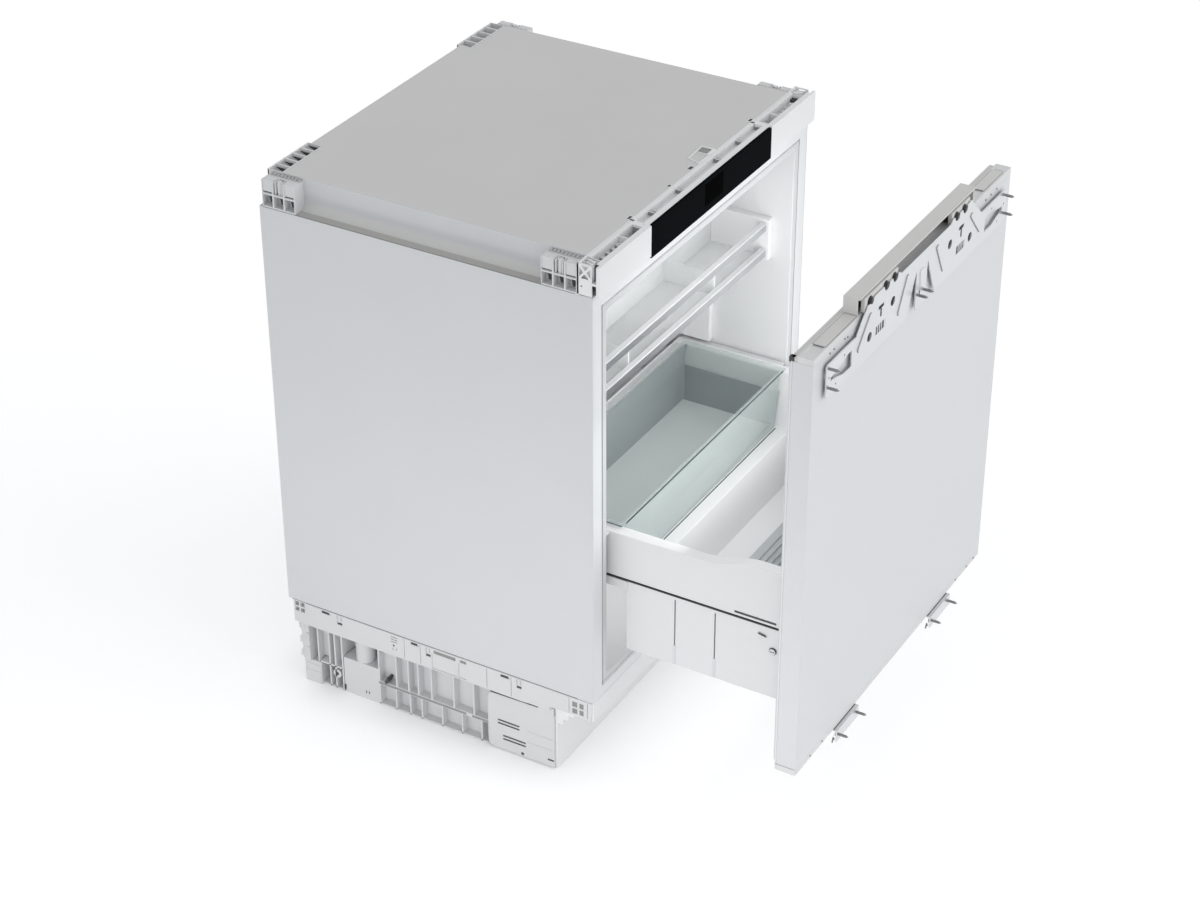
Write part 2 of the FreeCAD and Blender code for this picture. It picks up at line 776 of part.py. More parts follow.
# Service cover with paired vent slots
cover_back_x = -base_half
cover_front_x = -base_half - size.cover_thickness
cover_plate = box(
    "cover_plate",
    (cover_front_x, cover_back_x),
    (plinth_back, cover_rear),
    (size.cover_rise, size.cover_rise + size.cover_height),
)
cover_rounded = doc.addObject("Part::Fillet", "cover_rounded")
cover_rounded.Base = cover_plate
doc.recompute()
cover_edges = [
    index + 1
    for index, edge in enumerate(cover_plate.Shape.Edges)
    if edge.BoundBox.XLength > edge.BoundBox.YLength + edge.BoundBox.ZLength
    and edge.CenterOfMass.y > cover_plate.Shape.CenterOfMass.y
]
cover_rounded.Edges = [(index, size.cover_radius.number, size.cover_radius.number) for index in cover_edges]
cover_slots = []
for slot_row in range(2):
    for line in range(2):
        slot_low = (
            size.cover_rise
            + size.cover_slot_rise
            + size.cover_slot_step * slot_row
            + (size.cover_slot_height + size.cover_slot_gap) * line
        )
        slot_rear = cover_rear - size.cover_slot_setback - size.cover_slot_setback * (1 - slot_row) / 2
        cover_slots.append(
            box(
                f"cover_slot_{slot_row}_{line}",
                (cover_front_x - over, cover_back_x + over),
                (slot_rear - size.cover_slot_length, slot_rear),
                (slot_low, slot_low + size.cover_slot_height),
            )
        )
cover_slots.append(
    rod(
        "cover_hole",
        "x",
        (
            cover_front_x - over,
            share(plinth_back, cover_rear, 0.5),
            size.cover_rise + size.cover_slot_rise / 2,
        ),
        size.cover_thickness + 2 * over,
        size.cover_hole_radius,
    )
)
cover = cut("service_cover_left", cover_rounded, cover_slots)
mirrored(node(cover, "service_cover_left"), "service_cover_right")

# Plinth with the front lip and its stepped cove
lip_foot = size.base_height - size.lip_height
cove_points = []
cove_count = 4
for step in range(cove_count):
    cove_y = base_front - size.cove_step * (cove_count - step)
    cove_z = lip_foot - size.cove_step * step
    cove_points.append((cove_y, cove_z))
    cove_points.append((cove_y, cove_z - size.cove_step))
plinth = bar_body(
    "plinth_profile",
    "YZ_Plane",
    [(front, size.base_height), (front, lip_foot)]
    + cove_points
    + [
        (base_front, lip_foot - size.cove_step * cove_count),
        (base_front, 0),
        (plinth_back, 0),
        (plinth_back, size.base_height),
    ],
    size.width,
)
plinth_trim = [
    box(
        f"plinth_trim_{side}",
        low_high,
        (front - over, plinth_back + over),
        (-over, lip_foot),
    )
    for side, low_high in (("left", (-half - over, -base_half)), ("right", (base_half, half + over)))
]
lip_last = front + size.clip_cell_web + 2 * clip_pitch
plinth_trim += clip_cells("lip_cell_left", left_across, lip_last)
plinth_trim += clip_cells("lip_cell_right", right_across, lip_last)
node(cut("plinth_front_piece", plinth, plinth_trim), "plinth_front")

# Pan with bosses for the levelling feet
foot_x = wall_back - size.foot_inset_side
foot_front_y = plinth_back + size.foot_inset_end
foot_rear_y = base_rear - size.base_wall - size.foot_inset_end
foot_places = {
    "front_left": (-foot_x, foot_front_y),
    "front_right": (foot_x, foot_front_y),
    "rear_left": (-foot_x, foot_rear_y),
    "rear_right": (foot_x, foot_rear_y),
}
pan_pieces = [
    box("pan_plate", (-wall_back, wall_back), (plinth_back, base_rear), (0, size.pan_thickness)),
    box("pan_rear", (-wall_back, wall_back), (base_rear - size.base_wall, base_rear), (0, size.base_height)),
]
pan_cuts = []
for corner, (x, y) in foot_places.items():
    for kind, length, radius in (
        ("boss", size.foot_boss_height, size.foot_boss_radius),
        ("tower", size.foot_tower_height, size.foot_tower_radius),
    ):
        pan_pieces.append(rod(f"foot_{kind}_{corner}", "z", (x, y, 0), length, radius))
    pan_cuts.append(
        rod(
            f"foot_recess_{corner}",
            "z",
            (x, y, -over),
            size.foot_pad_height + size.fit_gap + over,
            size.foot_pad_radius + size.fit_gap,
        )
    )
    pan_cuts.append(
        rod(
            f"foot_bore_{corner}",
            "z",
            (x, y, -over),
            size.foot_tower_height + 2 * over,
            size.foot_stem_radius + size.foot_stem_gap,
        )
    )
vent_count = 6
for vent in range(vent_count):
    vent_low = share(-wall_back, wall_back, (vent + 0.7) / (vent_count + 1))
    pan_cuts.append(
        box(
            f"pan_vent_{vent}",
            (vent_low, vent_low + size.channel_length / 2),
            (base_rear - size.base_wall - over, base_rear + over),
            (size.foot_tower_height, size.foot_tower_height + size.grille_pitch),
        )
    )
node(cut("base_pan", fuse("pan_block", pan_pieces), pan_cuts), "base_pan")

for corner, (x, y) in foot_places.items():
    foot = fuse(
        f"foot_{corner}",
        [
            rod(f"foot_pad_{corner}", "z", (x, y, 0), size.foot_pad_height, size.foot_pad_radius),
            rod(f"foot_stem_{corner}", "z", (x, y, 0), size.foot_stem_length, size.foot_stem_radius),
        ],
    )
    node(foot, f"foot_{corner}")

# Compressor on rubber mounts, with the evaporation tray on its crown
pump_plate_half = size.compressor_plate_side / 2
pump_x = foot_x - size.foot_tower_radius - pump_plate_half - size.compressor_side_gap
pump_y = rear - size.compressor_rear
plate_foot = size.pan_thickness + size.mount_height
shell_foot = plate_foot + size.compressor_plate
shell_head = machine_top - size.tray_head_gap - size.tray_height - size.compressor_crown
shell_height = shell_head - shell_foot
compressor = fuse(
    "compressor",
    [
        box(
            "pump_plate",
            (pump_x - pump_plate_half, pump_x + pump_plate_half),
            (pump_y - pump_plate_half, pump_y + pump_plate_half),
            (plate_foot, shell_foot),
        ),
        rod("pump_shell", "z", (pump_x, pump_y, shell_foot), shell_height, size.compressor_radius),
        cone(
            "pump_crown",
            "z",
            (pump_x, pump_y, shell_head),
            size.compressor_crown,
            size.compressor_radius,
            size.compressor_top_radius,
        ),
    ],
)
node(compressor, "compressor")
mounts = []
for column in (-1, 1):
    for line in (-1, 1):
        mounts.append(
            rod(
                f"pump_mount_{column + 1}_{line + 1}",
                "z",
                (
                    pump_x + column * size.mount_spacing / 2,
                    pump_y + line * size.mount_spacing / 2,
                    size.pan_thickness,
                ),
                size.mount_height,
                size.mount_radius,
            )
        )
node(group("compressor_mounts", mounts), "compressor_mounts")

tray_foot = shell_head + size.compressor_crown
tray_half = size.tray_side / 2


def tray_block(name, inset, low, high):
    return box(
        name,
        (pump_x - tray_half + inset, pump_x + tray_half - inset),
        (pump_y - tray_half + inset, pump_y + tray_half - inset),
        (low, high),
    )


node(
    cut(
        "evaporation_tray",
        tray_block("tray_outer", 0, tray_foot, tray_foot + size.tray_height),
        [
            tray_block(
                "tray_inner", size.tray_wall, tray_foot + size.tray_wall, tray_foot + size.tray_height + over
            )
        ],
    ),
    "evaporation_tray",
)

# Suction pipe from the shell towards the middle and up to the foam above
pipe_level_share = 0.6
pipe_start = FreeCAD.Vector(
    pump_x.number - size.compressor_radius.number,
    pump_y.number,
    shell_foot.number + pipe_level_share * shell_height.number,
)
pipe_turn = pipe_start + FreeCAD.Vector(-size.pipe_length.number, 0, 0)
bend = size.pipe_bend.number
bend_start = pipe_turn + FreeCAD.Vector(bend, 0, 0)
bend_end = pipe_turn + FreeCAD.Vector(0, 0, bend)
bend_slack_share = 1 - math.sqrt(0.5)
bend_middle = pipe_turn + FreeCAD.Vector(bend * bend_slack_share, 0, bend * bend_slack_share)
pipe_end = FreeCAD.Vector(pipe_turn.x, pipe_turn.y, machine_top.number)
pipe_path = Part.Wire(
    [
        Part.LineSegment(pipe_start, bend_start).toShape(),
        Part.Arc(bend_start, bend_middle, bend_end).toShape(),
        Part.LineSegment(bend_end, pipe_end).toShape(),
    ]
)
pipe_ring = Part.Wire(Part.makeCircle(size.pipe_radius.number, pipe_start, FreeCAD.Vector(-1, 0, 0)))
suction_pipe = doc.addObject("Part::Feature", "suction_pipe")
suction_pipe.Shape = pipe_path.makePipeShell([pipe_ring], True, False)
node(suction_pipe, "suction_pipe")

# Finned condenser in front of its fan
fin_low = size.condenser_side_gap - wall_back
fin_high = fin_low + size.condenser_width
fin_rear = rear - size.condenser_rear
fin_front = fin_rear - size.condenser_depth
fin_foot = size.pan_thickness
fin_count = 18
condenser_pieces = []
for fin in range(fin_count + 1):
    fin_x = share(fin_low, fin_high - size.condenser_fin, fin / fin_count)
    condenser_pieces.append(
        box(
            f"condenser_fin_{fin}",
            (fin_x, fin_x + size.condenser_fin),
            (fin_front, fin_rear),
            (fin_foot, fin_foot + size.condenser_height),
        )
    )
for level, level_share in enumerate((0.2, 0.5, 0.8)):
    for line, line_share in enumerate((0.28, 0.72)):
        condenser_pieces.append(
            rod(
                f"condenser_tube_{level}_{line}",
                "x",
                (
                    fin_low - size.condenser_tube_radius,
                    share(fin_front, fin_rear, line_share),
                    share(fin_foot, fin_foot + size.condenser_height, level_share),
                ),
                size.condenser_width + 2 * size.condenser_tube_radius,
                size.condenser_tube_radius,
            )
        )
node(fuse("condenser", condenser_pieces), "condenser")

# Fan behind the condenser: a shroud with the motor on arms, and the turning rotor
fan_x = (fin_low + fin_high) / 2
fan_z = size.pan_thickness + size.shroud_side / 2
shroud_front = fin_rear + size.shroud_gap
shroud_back = shroud_front + size.shroud_depth
shroud_half = size.shroud_side / 2
ring_radius = size.fan_radius + size.fan_clearance
motor_back = shroud_back + size.fan_hub_length + size.motor_length
shroud_plate = cut(
    "shroud_plate",
    box(
        "shroud_block",
        (fan_x - shroud_half, fan_x + shroud_half),
        (shroud_front, shroud_back),
        (fan_z - shroud_half, fan_z + shroud_half),
    ),
    [rod("shroud_hole", "y", (fan_x, shroud_front - over, fan_z), size.shroud_depth + 2 * over, ring_radius)],
)
motor_front = motor_back - size.motor_length
arm_half = size.motor_arm / 2
shroud_pieces = [
    shroud_plate,
    rod("motor_can", "y", (fan_x, motor_front, fan_z), size.motor_length, size.motor_radius),
    rod(
        "motor_shaft",
        "y",
        (fan_x, shroud_back, fan_z),
        motor_front - shroud_back + over,
        size.motor_shaft_radius,
    ),
    box(
        "motor_arm",
        (fan_x - shroud_half, fan_x + shroud_half),
        (motor_back - size.motor_arm, motor_back),
        (fan_z - arm_half, fan_z + arm_half),
    ),
]
for side, low_high in (
    ("left", (fan_x - shroud_half, fan_x - shroud_half + size.motor_arm)),
    ("right", (fan_x + shroud_half - size.motor_arm, fan_x + shroud_half)),
):
    shroud_pieces.append(
        box(f"motor_post_{side}", low_high, (shroud_front, motor_back), (fan_z - arm_half, fan_z + arm_half))
    )
node(fuse("fan_shroud", shroud_pieces), "fan_shroud")

hub_front = shroud_front
hub_length = motor_front - size.fit_gap - hub_front
blade_count = 7
rotor_pieces = [rod("rotor_hub", "y", (fan_x, hub_front, fan_z), hub_length, size.fan_hub_radius)]
blade_half = size.fan_blade_width / 2
for blade in range(blade_count):
    paddle = doc.addObject("Part::Box", f"rotor_blade_{blade}")
    bind(paddle, "Length", size.fan_radius)
    bind(paddle, "Width", size.fan_blade_thickness)
    bind(paddle, "Height", size.fan_blade_width)
    pitch = FreeCAD.Rotation(FreeCAD.Vector(1, 0, 0), 60)
    spin = FreeCAD.Rotation(FreeCAD.Vector(0, 1, 0), 360 * blade / blade_count)
    paddle.Placement = FreeCAD.Placement(FreeCAD.Vector(), spin * pitch)
    middle = spin.multVec(pitch.multVec(FreeCAD.Vector(0, 1, 0)))
    lift = spin.multVec(pitch.multVec(FreeCAD.Vector(0, 0, 1)))
    place(
        paddle,
        fan_x - size.fan_blade_thickness * (middle.x / 2) - blade_half * lift.x,
        hub_front + hub_length / 2 - size.fan_blade_thickness * (middle.y / 2) - blade_half * lift.y,
        fan_z - size.fan_blade_thickness * (middle.z / 2) - blade_half * lift.z,
    )
    rotor_pieces.append(paddle)
rotor_block = fuse("rotor_block", rotor_pieces)
rotor_sweep = rod("rotor_sweep", "y", (fan_x, hub_front, fan_z), hub_length, size.fan_radius)
rotor_round = doc.addObject("Part::Common", "rotor_round")
rotor_round.Base = rotor_block
rotor_round.Tool = rotor_sweep
rotor_bore = rod(
    "rotor_bore",
    "y",
    (fan_x, shroud_back - size.fit_gap, fan_z),
    hub_length + over,
    size.motor_shaft_radius + size.fan_shaft_gap,
)
node(cut("fan_rotor", rotor_round, [rotor_bore]), "fan_rotor")

# Mains inlet on the inside of the machine room's cover
inlet_low = size.inlet_side_gap - wall_back - size.inlet_width / 2
inlet_foot = size.base_height + size.grille_bar / 2 - size.inlet_height
inlet_rear = base_rear
inlet_margin = size.inlet_mouth_margin
inlet_block = box(
    "inlet_block",
    (inlet_low, inlet_low + size.inlet_width),
    (inlet_rear, inlet_rear + size.base_rear_inset),
    (inlet_foot, inlet_foot + size.inlet_height - size.grille_bar / 2),
)
inlet_mouth = box(
    "inlet_mouth",
    (inlet_low + inlet_margin, inlet_low + size.inlet_width - inlet_margin),
    (inlet_rear + size.base_wall, inlet_rear + size.base_rear_inset + over),
    (inlet_foot + inlet_margin, inlet_foot + size.inlet_height - size.grille_bar / 2 - inlet_margin),
)
node(cut("inlet_socket", inlet_block, [inlet_mouth]), "inlet_socket")

# Upper shelf: two wall supports, a glass plate, two bars and clear dividers
support_inner = cavity_half - size.shelf_support_thickness
support_front = front + size.shelf_setback
support_back = support_front + size.shelf_support_length
support_high = cavity_top - size.shelf_head_gap
support_low = support_high - size.shelf_support_height
shelf_support = fuse(
    "shelf_support_left",
    [
        box(
            "support_panel",
            (-cavity_half, -support_inner),
            (support_front, support_back),
            (support_low, support_high),
        ),
        box(
            "support_leg",
            (-cavity_half, -support_inner),
            (support_front + size.shelf_leg_setback, support_back),
            (size.tub_rim + size.shelf_leg_gap, support_low + over),
        ),
    ],
)
mirrored(node(shelf_support, "shelf_support_left"), "shelf_support_right")

bar_front = support_front + size.bar_setback
bar_half = support_inner - size.bar_end_gap
upper_bar_high = support_high - size.bar_upper_drop
lower_bar_low = support_low + size.bar_lower_rise
bars = [
    box(
        f"shelf_bar_{name}",
        (-bar_half, bar_half),
        (bar_front, bar_front + size.bar_depth),
        (low, low + size.bar_height),
    )
    for name, low in (("upper", upper_bar_high - size.bar_height), ("lower", lower_bar_low))
]
node(group("shelf_bars", bars), "shelf_bars")

shelf_top = support_low + size.shelf_glass_rise
shelf_front = bar_front + size.bar_depth + size.bar_end_gap
node(
    box(
        "shelf_glass",
        (-bar_half, bar_half),
        (shelf_front, support_back),
        (shelf_top - size.shelf_glass_thickness, shelf_top),
    ),
    "shelf_glass",
)
divider_y = support_front + size.divider_setback
divider_pieces = [
    box(
        "divider_long",
        (-bar_half, bar_half),
        (divider_y, divider_y + size.divider_thickness),
        (shelf_top, shelf_top + size.divider_height),
    )
]
for cross, cross_share in enumerate((0.24, 0.72)):
    cross_x = share(-bar_half, bar_half, cross_share)
    divider_pieces.append(
        box(
            f"divider_cross_{cross}",
            (cross_x, cross_x + size.divider_thickness),
            (shelf_front, support_back),
            (shelf_top, shelf_top + size.divider_height),
        )
    )
node(fuse("shelf_dividers", divider_pieces), "shelf_dividers")

# Pull-out front, drawn at the photographed opening
panel_back = front - size.seal_gap - size.rest_travel
panel_front = panel_back - size.panel_thickness
panel_foot = size.base_height - size.panel_drop
panel_head = side_top
skin_foot = panel_foot + size.cap_foot
skin_head = panel_head - size.cap_head
liner_face = panel_back - size.door_liner_thickness

skin = cut(
    "front_skin",
    box("skin_block", (-half, half), (panel_front, liner_face), (skin_foot, skin_head)),
    [
        box(
            "skin_room",
            (-sheet_half, sheet_half),
            (panel_front + size.steel_sheet, liner_face + over),
            (skin_foot - over, skin_head + over),
        )
    ],
)
node(skin, "front_skin")
node(
    box(
        "front_foam",
        (-sheet_half, sheet_half),
        (panel_front + size.steel_sheet, liner_face),
        (skin_foot, skin_head),
    ),
    "front_foam",
)
insert_outer = half - size.cap_insert_margin
insert_inner = insert_outer - size.cap_insert_length
cap_back = panel_front + size.cap_depth
cap_inserts = [
    box(
        f"cap_insert_{side}",
        low_high,
        (panel_front + size.cap_insert_edge, cap_back - size.cap_insert_edge),
        (panel_head - size.cap_insert_depth, panel_head + over),
    )
    for side, low_high in (("left", (-insert_outer, -insert_inner)), ("right", (insert_inner, insert_outer)))
]
cap_block = box("cap_top_block", (-half, half), (panel_front, cap_back), (skin_head, panel_head))
node(cut("front_cap_top", cap_block, cap_inserts), "front_cap_top")
cap_bottom = box("front_cap_bottom", (-half, half), (panel_front, liner_face), (panel_foot, skin_foot))
node(cap_bottom, "front_cap_bottom")

plateau_half = half - size.plateau_margin
plateau_low = panel_foot + size.plateau_foot
plateau_high = panel_head - size.plateau_head
plateau_back = panel_back + size.plateau_depth
door_liner = fuse(
    "front_inner_liner",
    [
        box("door_liner_plate", (-half, half), (liner_face, panel_back), (panel_foot, skin_head)),
        cut(
            "door_plateau",
            box(
                "plateau_block",
                (-plateau_half, plateau_half),
                (liner_face, plateau_back),
                (plateau_low, plateau_high),
            ),
            [
                box(
                    "plateau_room",
                    (-plateau_half + size.door_liner_thickness, plateau_half - size.door_liner_thickness),
                    (liner_face - over, plateau_back - size.door_liner_thickness),
                    (plateau_low + size.door_liner_thickness, plateau_high - size.door_liner_thickness),
                )
            ],
        ),
    ],
)
node(door_liner, "front_inner_liner")

seal_half = half - size.seal_edge
seal_low = panel_foot + size.seal_edge
seal_high = skin_head - size.seal_edge
seal_back = panel_back + size.seal_gap - size.seal_clearance
seal = cut(
    "door_gasket",
    box("seal_block", (-seal_half, seal_half), (panel_back, seal_back), (seal_low, seal_high)),
    [
        box(
            "seal_window",
            (-seal_half + size.seal_width, seal_half - size.seal_width),
            (panel_back - over, seal_back + over),
            (seal_low + size.seal_width, seal_high - size.seal_width),
        )
    ],
)
node(seal, "door_gasket")

# Housing on the panel's head that carries the furniture front bracket
housing_half = size.housing_width / 2
housing_front = panel_front + size.housing_front_gap
housing_head = panel_head + size.housing_height
housing = cut(
    "mount_housing",
    box(
        "housing_block",
        (-housing_half, housing_half),
        (housing_front, cap_back),
        (panel_head, housing_head),
    ),
    [
        box(
            "housing_room",
            (-housing_half + size.housing_wall, housing_half - size.housing_wall),
            (housing_front - over, cap_back - size.housing_wall),
            (panel_head - over, housing_head - size.housing_wall),
        )
    ],
)
node(housing, "mount_housing")

# Sheet-metal bracket: arms, shoulders, notch with its middle tab
bracket_back = panel_front - size.bracket_gap
bracket_front = bracket_back - size.bracket_thickness
arm_foot = panel_head - size.bracket_arm_drop
arm_head = arm_foot + size.bracket_arm_height
crown_head = arm_head + size.bracket_rise
bracket_half = half - size.bracket_end_gap
end_screw_half = half - size.end_screw_gap
shoulder_half = size.bracket_crown_half + size.bracket_shoulder
half_outline = [
    (size.bracket_notch_half, arm_foot),
    (bracket_half, arm_foot),
    (bracket_half, arm_head),
    (shoulder_half, arm_head),
    (size.bracket_crown_half, crown_head),
]
notch_top = arm_foot + size.bracket_notch_height
tab_outline = [
    (-size.bracket_notch_apex_half, notch_top),
    (-size.bracket_tab_half, arm_foot),
    (size.bracket_tab_half, arm_foot),
    (size.bracket_notch_apex_half, notch_top),
]
left_half = [(-across, up) for across, up in reversed(half_outline)]
bracket = doc.addObject("PartDesign::Body", "bracket_blank")
bracket_sketch = outline(bracket, "bracket_outline", "XZ_Plane", left_half + tab_outline + half_outline)
bracket_pad = bracket.newObject("PartDesign::Pad", "bracket_pad")
bracket_pad.Profile = bracket_sketch
bind(bracket_pad, "Length", size.bracket_thickness)
place(bracket, 0, bracket_back, 0)

end_screw_high = arm_head - size.end_screw_drop
end_screw_low = end_screw_high - size.end_screw_pitch
tab_screw_z = arm_foot + size.tab_screw_rise
foot_screw_z = panel_foot - size.foot_screw_drop
bracket_screws = [
    (-end_screw_half, end_screw_high),
    (-end_screw_half, end_screw_low),
    (end_screw_half, end_screw_high),
    (end_screw_half, end_screw_low),
    (-size.tab_screw_half, tab_screw_z),
    (size.tab_screw_half, tab_screw_z),
]
foot_screws = [
    (sign * size.foot_bracket_offset + end * size.foot_screw_half, foot_screw_z)
    for sign in (-1, 1)
    for end in (-1, 1)
]
hole_radius = size.screw_radius + size.screw_clearance
hole_length = size.bracket_thickness + 2 * over
bracket_cuts = []
for index, (x, z) in enumerate(bracket_screws):
    bracket_cuts.append(
        rod(f"bracket_screw_hole_{index}", "y", (x, bracket_front - over, z), hole_length, hole_radius)
    )
for side, sign in (("left", -1), ("right", 1)):
    for kind, offset, rise in (
        ("outer", size.bracket_outer_hole, size.bracket_outer_hole_rise),
        ("inner", size.bracket_inner_hole, size.bracket_inner_hole_rise),
    ):
        bracket_cuts.append(
            rod(
                f"bracket_hole_{side}_{kind}",
                "y",
                (sign * offset, bracket_front - over, arm_foot + rise),
                hole_length,
                size.bracket_hole_radius,
            )
        )
    slot_middle = sign * (half - size.arm_slot_gap)
    slot_z = (arm_foot + arm_head) / 2
    bracket_cuts.append(
        box(
            f"arm_slot_{side}",
            (slot_middle - size.arm_slot_length / 2, slot_middle + size.arm_slot_length / 2),
            (bracket_front - over, bracket_back + over),
            (slot_z - size.arm_slot_height / 2, slot_z + size.arm_slot_height / 2),
        )
    )
node(cut("bracket_plate", bracket, bracket_cuts), "mounting_bracket")

# Black adjusters between the housing's back wall and the bracket
adjuster_z = crown_head - size.adjuster_drop - size.adjuster_radius
adjuster_start = bracket_back
adjuster_length = cap_back - size.housing_wall - adjuster_start
adjusters = [
    rod(f"adjuster_{index}", "y", (x, adjuster_start, adjuster_z), adjuster_length, size.adjuster_radius)
    for index, x in enumerate(
        (
            -size.adjuster_end_offset,
            -size.adjuster_middle_offset,
            -size.adjuster_inner_offset,
            size.adjuster_middle_offset,
            size.adjuster_outer_offset,
        )
    )
]
node(group("bracket_adjusters", adjusters), "bracket_adjusters")

# Angle brackets under the panel's foot
foot_bracket_low = panel_foot - size.foot_bracket_height
foot_brackets = []
for side, sign in (("left", -1), ("right", 1)):
    middle = sign * size.foot_bracket_offset
    across = (middle - size.foot_bracket_half, middle + size.foot_bracket_half)
    angle = fuse(
        f"foot_angle_{side}",
        [
            box(
                f"foot_angle_plate_{side}",
                across,
                (bracket_front, bracket_back),
                (foot_bracket_low, panel_foot),
            ),
            box(
                f"foot_angle_flange_{side}",
                across,
                (bracket_front, panel_front + size.foot_bracket_reach),
                (panel_foot - size.foot_bracket_thickness, panel_foot),
            ),
        ],
    )
    holes = [
        rod(
            f"foot_screw_hole_{side}_{end}",
            "y",
            (middle + step * size.foot_screw_half, bracket_front - over, foot_screw_z),
            hole_length,
            hole_radius,
        )
        for end, step in (("low", -1), ("high", 1))
    ]
    foot_brackets.append(cut(f"foot_bracket_{side}", angle, holes))
node(group("lower_brackets", foot_brackets), "lower_brackets")

# Wood screws for the furniture front, heads behind the plates
screws = []
shank_back = bracket_back
tip_base = bracket_front - size.screw_length + size.screw_tip
neck_front = bracket_front - size.screw_neck_length
neck_radius = size.screw_radius - size.screw_clearance
for index, (x, z) in enumerate(bracket_screws + foot_screws):
    screws.append(
        fuse(
            f"screw_{index}",
            [
                rod(f"screw_shank_{index}", "y", (x, tip_base, z), neck_front - tip_base, size.screw_radius),
                rod(f"screw_neck_{index}", "y", (x, neck_front, z), shank_back - neck_front, neck_radius),
                rod(
                    f"screw_head_{index}",
                    "y",
                    (x, shank_back, z),
                    size.screw_head_height,
                    size.screw_head_radius,
                ),
                cone(
                    f"screw_tip_{index}",
                    "y",
                    (x, tip_base - size.screw_tip, z),
                    size.screw_tip,
                    0,
                    size.screw_radius,
                ),
            ],
        )
    )
node(group("panel_screws", screws), "panel_screws")

# Drawer tub: a deep bottle bay at the front, a shallow tray behind it
tub_half = cavity_half - size.tub_side_gap
inner_half = tub_half - size.rail_room
rail_gap_high = size.tub_rim - size.rail_cover_height
rail_gap_low = rail_gap_high - size.rail_gap_height
tub_front = plateau_back
tub_rear = tub_front + size.tub_length
bay_rear = tub_front + size.bay_length
wall = size.tub_wall
bay_across = (-inner_half, inner_half)
tub_pieces = [
    box(
        "bay_floor",
        bay_across,
        (tub_front, bay_rear),
        (size.tub_floor_height, size.tub_floor_height + wall),
    ),
    box("bay_front", bay_across, (tub_front, tub_front + wall), (size.tub_floor_height, size.tub_rim)),
    box(
        "bay_back",
        (-inner_half, inner_half),
        (bay_rear - wall, bay_rear),
        (size.tub_floor_height, tray_floor + wall),
    ),
    box(
        "tray_floor",
        (-inner_half, inner_half),
        (bay_rear - wall, tub_rear),
        (tray_floor, tray_floor + wall),
    ),
    box("tray_back", (-inner_half, inner_half), (tub_rear - wall, tub_rear), (tray_floor, size.tub_rim)),
]
skirt_half = tub_half - size.skirt_inset
# The rim swells up towards the front: shares of the bay's length and of the swell's height
wave_shares = ((0, 1), (0.20, 1), (0.26, 0.9), (0.32, 0.65), (0.40, 0.3), (0.46, 0.1), (0.52, 0))


def span(side, outer, inner):
    """The stretch between two distances from the middle, on one side."""
    return (-outer, -inner) if side == "left" else (inner, outer)


for side in ("left", "right"):
    tub_pieces += [
        box(
            f"bay_side_{side}",
            span(side, inner_half, inner_half - wall),
            (tub_front, bay_rear),
            (size.tub_floor_height, size.tub_rim),
        ),
        box(
            f"tray_side_{side}",
            span(side, inner_half, inner_half - wall),
            (bay_rear - wall, tub_rear),
            (tray_floor, size.tub_rim),
        ),
        box(
            f"rail_cover_{side}",
            span(side, tub_half, tub_half - wall),
            (tub_front, tub_rear),
            (rail_gap_high, size.tub_rim),
        ),
        box(
            f"rail_cover_top_{side}",
            span(side, tub_half, inner_half - wall),
            (tub_front, tub_rear),
            (size.tub_rim - wall, size.tub_rim),
        ),
        box(
            f"skirt_{side}",
            span(side, skirt_half, skirt_half - wall),
            (tub_front, bay_rear),
            (size.tub_floor_height, rail_gap_low),
        ),
        box(
            f"skirt_top_{side}",
            span(side, skirt_half, inner_half - wall),
            (tub_front, bay_rear),
            (rail_gap_low - wall, rail_gap_low),
        ),
    ]
wave_foot = size.tub_rim - wall
wave_profile = bar_body(
    "wave_profile",
    "YZ_Plane",
    [
        (tub_front, wave_foot),
        (share(tub_front, bay_rear, wave_shares[-1][0]), wave_foot),
    ]
    + [
        (share(tub_front, bay_rear, along), share(size.tub_rim, size.tub_rim + size.wave_rise, up))
        for along, up in reversed(wave_shares)
    ],
    2 * tub_half,
)
wave_room = box(
    "wave_room",
    (wall - inner_half, inner_half - wall),
    (tub_front - over, bay_rear),
    (wave_foot - over, size.tub_rim + size.wave_rise + over),
)
tub_pieces.append(cut("wave_pair", wave_profile, [wave_room]))
slit_cuts = []
for slit, slit_share in enumerate((0.44, 0.69)):
    slit_y = share(tub_front, bay_rear, slit_share)
    for side in ("left", "right"):
        slit_cuts.append(
            box(
                f"skirt_slit_{side}_{slit}",
                span(side, skirt_half + over, inner_half),
                (slit_y, slit_y + size.skirt_slit),
                (size.tub_floor_height - over, rail_gap_low - 2 * wall),
            )
        )
node(cut("drawer_tub", fuse("tub_block", tub_pieces), slit_cuts), "drawer_tub")

mat_foot = size.tub_floor_height + wall
mat_front = tub_front + wall + size.fit_gap
mat_half = inner_half - wall - size.mat_side_gap
mat_rib_count = 18
mat_pieces = [
    box(
        "mat_base",
        (-mat_half, mat_half),
        (mat_front, mat_front + size.mat_length),
        (mat_foot, mat_foot + size.mat_base),
    )
]
for rib in range(mat_rib_count):
    rib_low = mat_front + size.mat_rib_pitch * rib + size.mat_rib
    mat_pieces.append(
        box(
            f"mat_rib_{rib}",
            (-mat_half, mat_half),
            (rib_low, rib_low + size.mat_rib),
            (mat_foot, mat_foot + size.mat_base + size.mat_rib_height),
        )
    )
node(fuse("bottle_mat", mat_pieces), "bottle_mat")

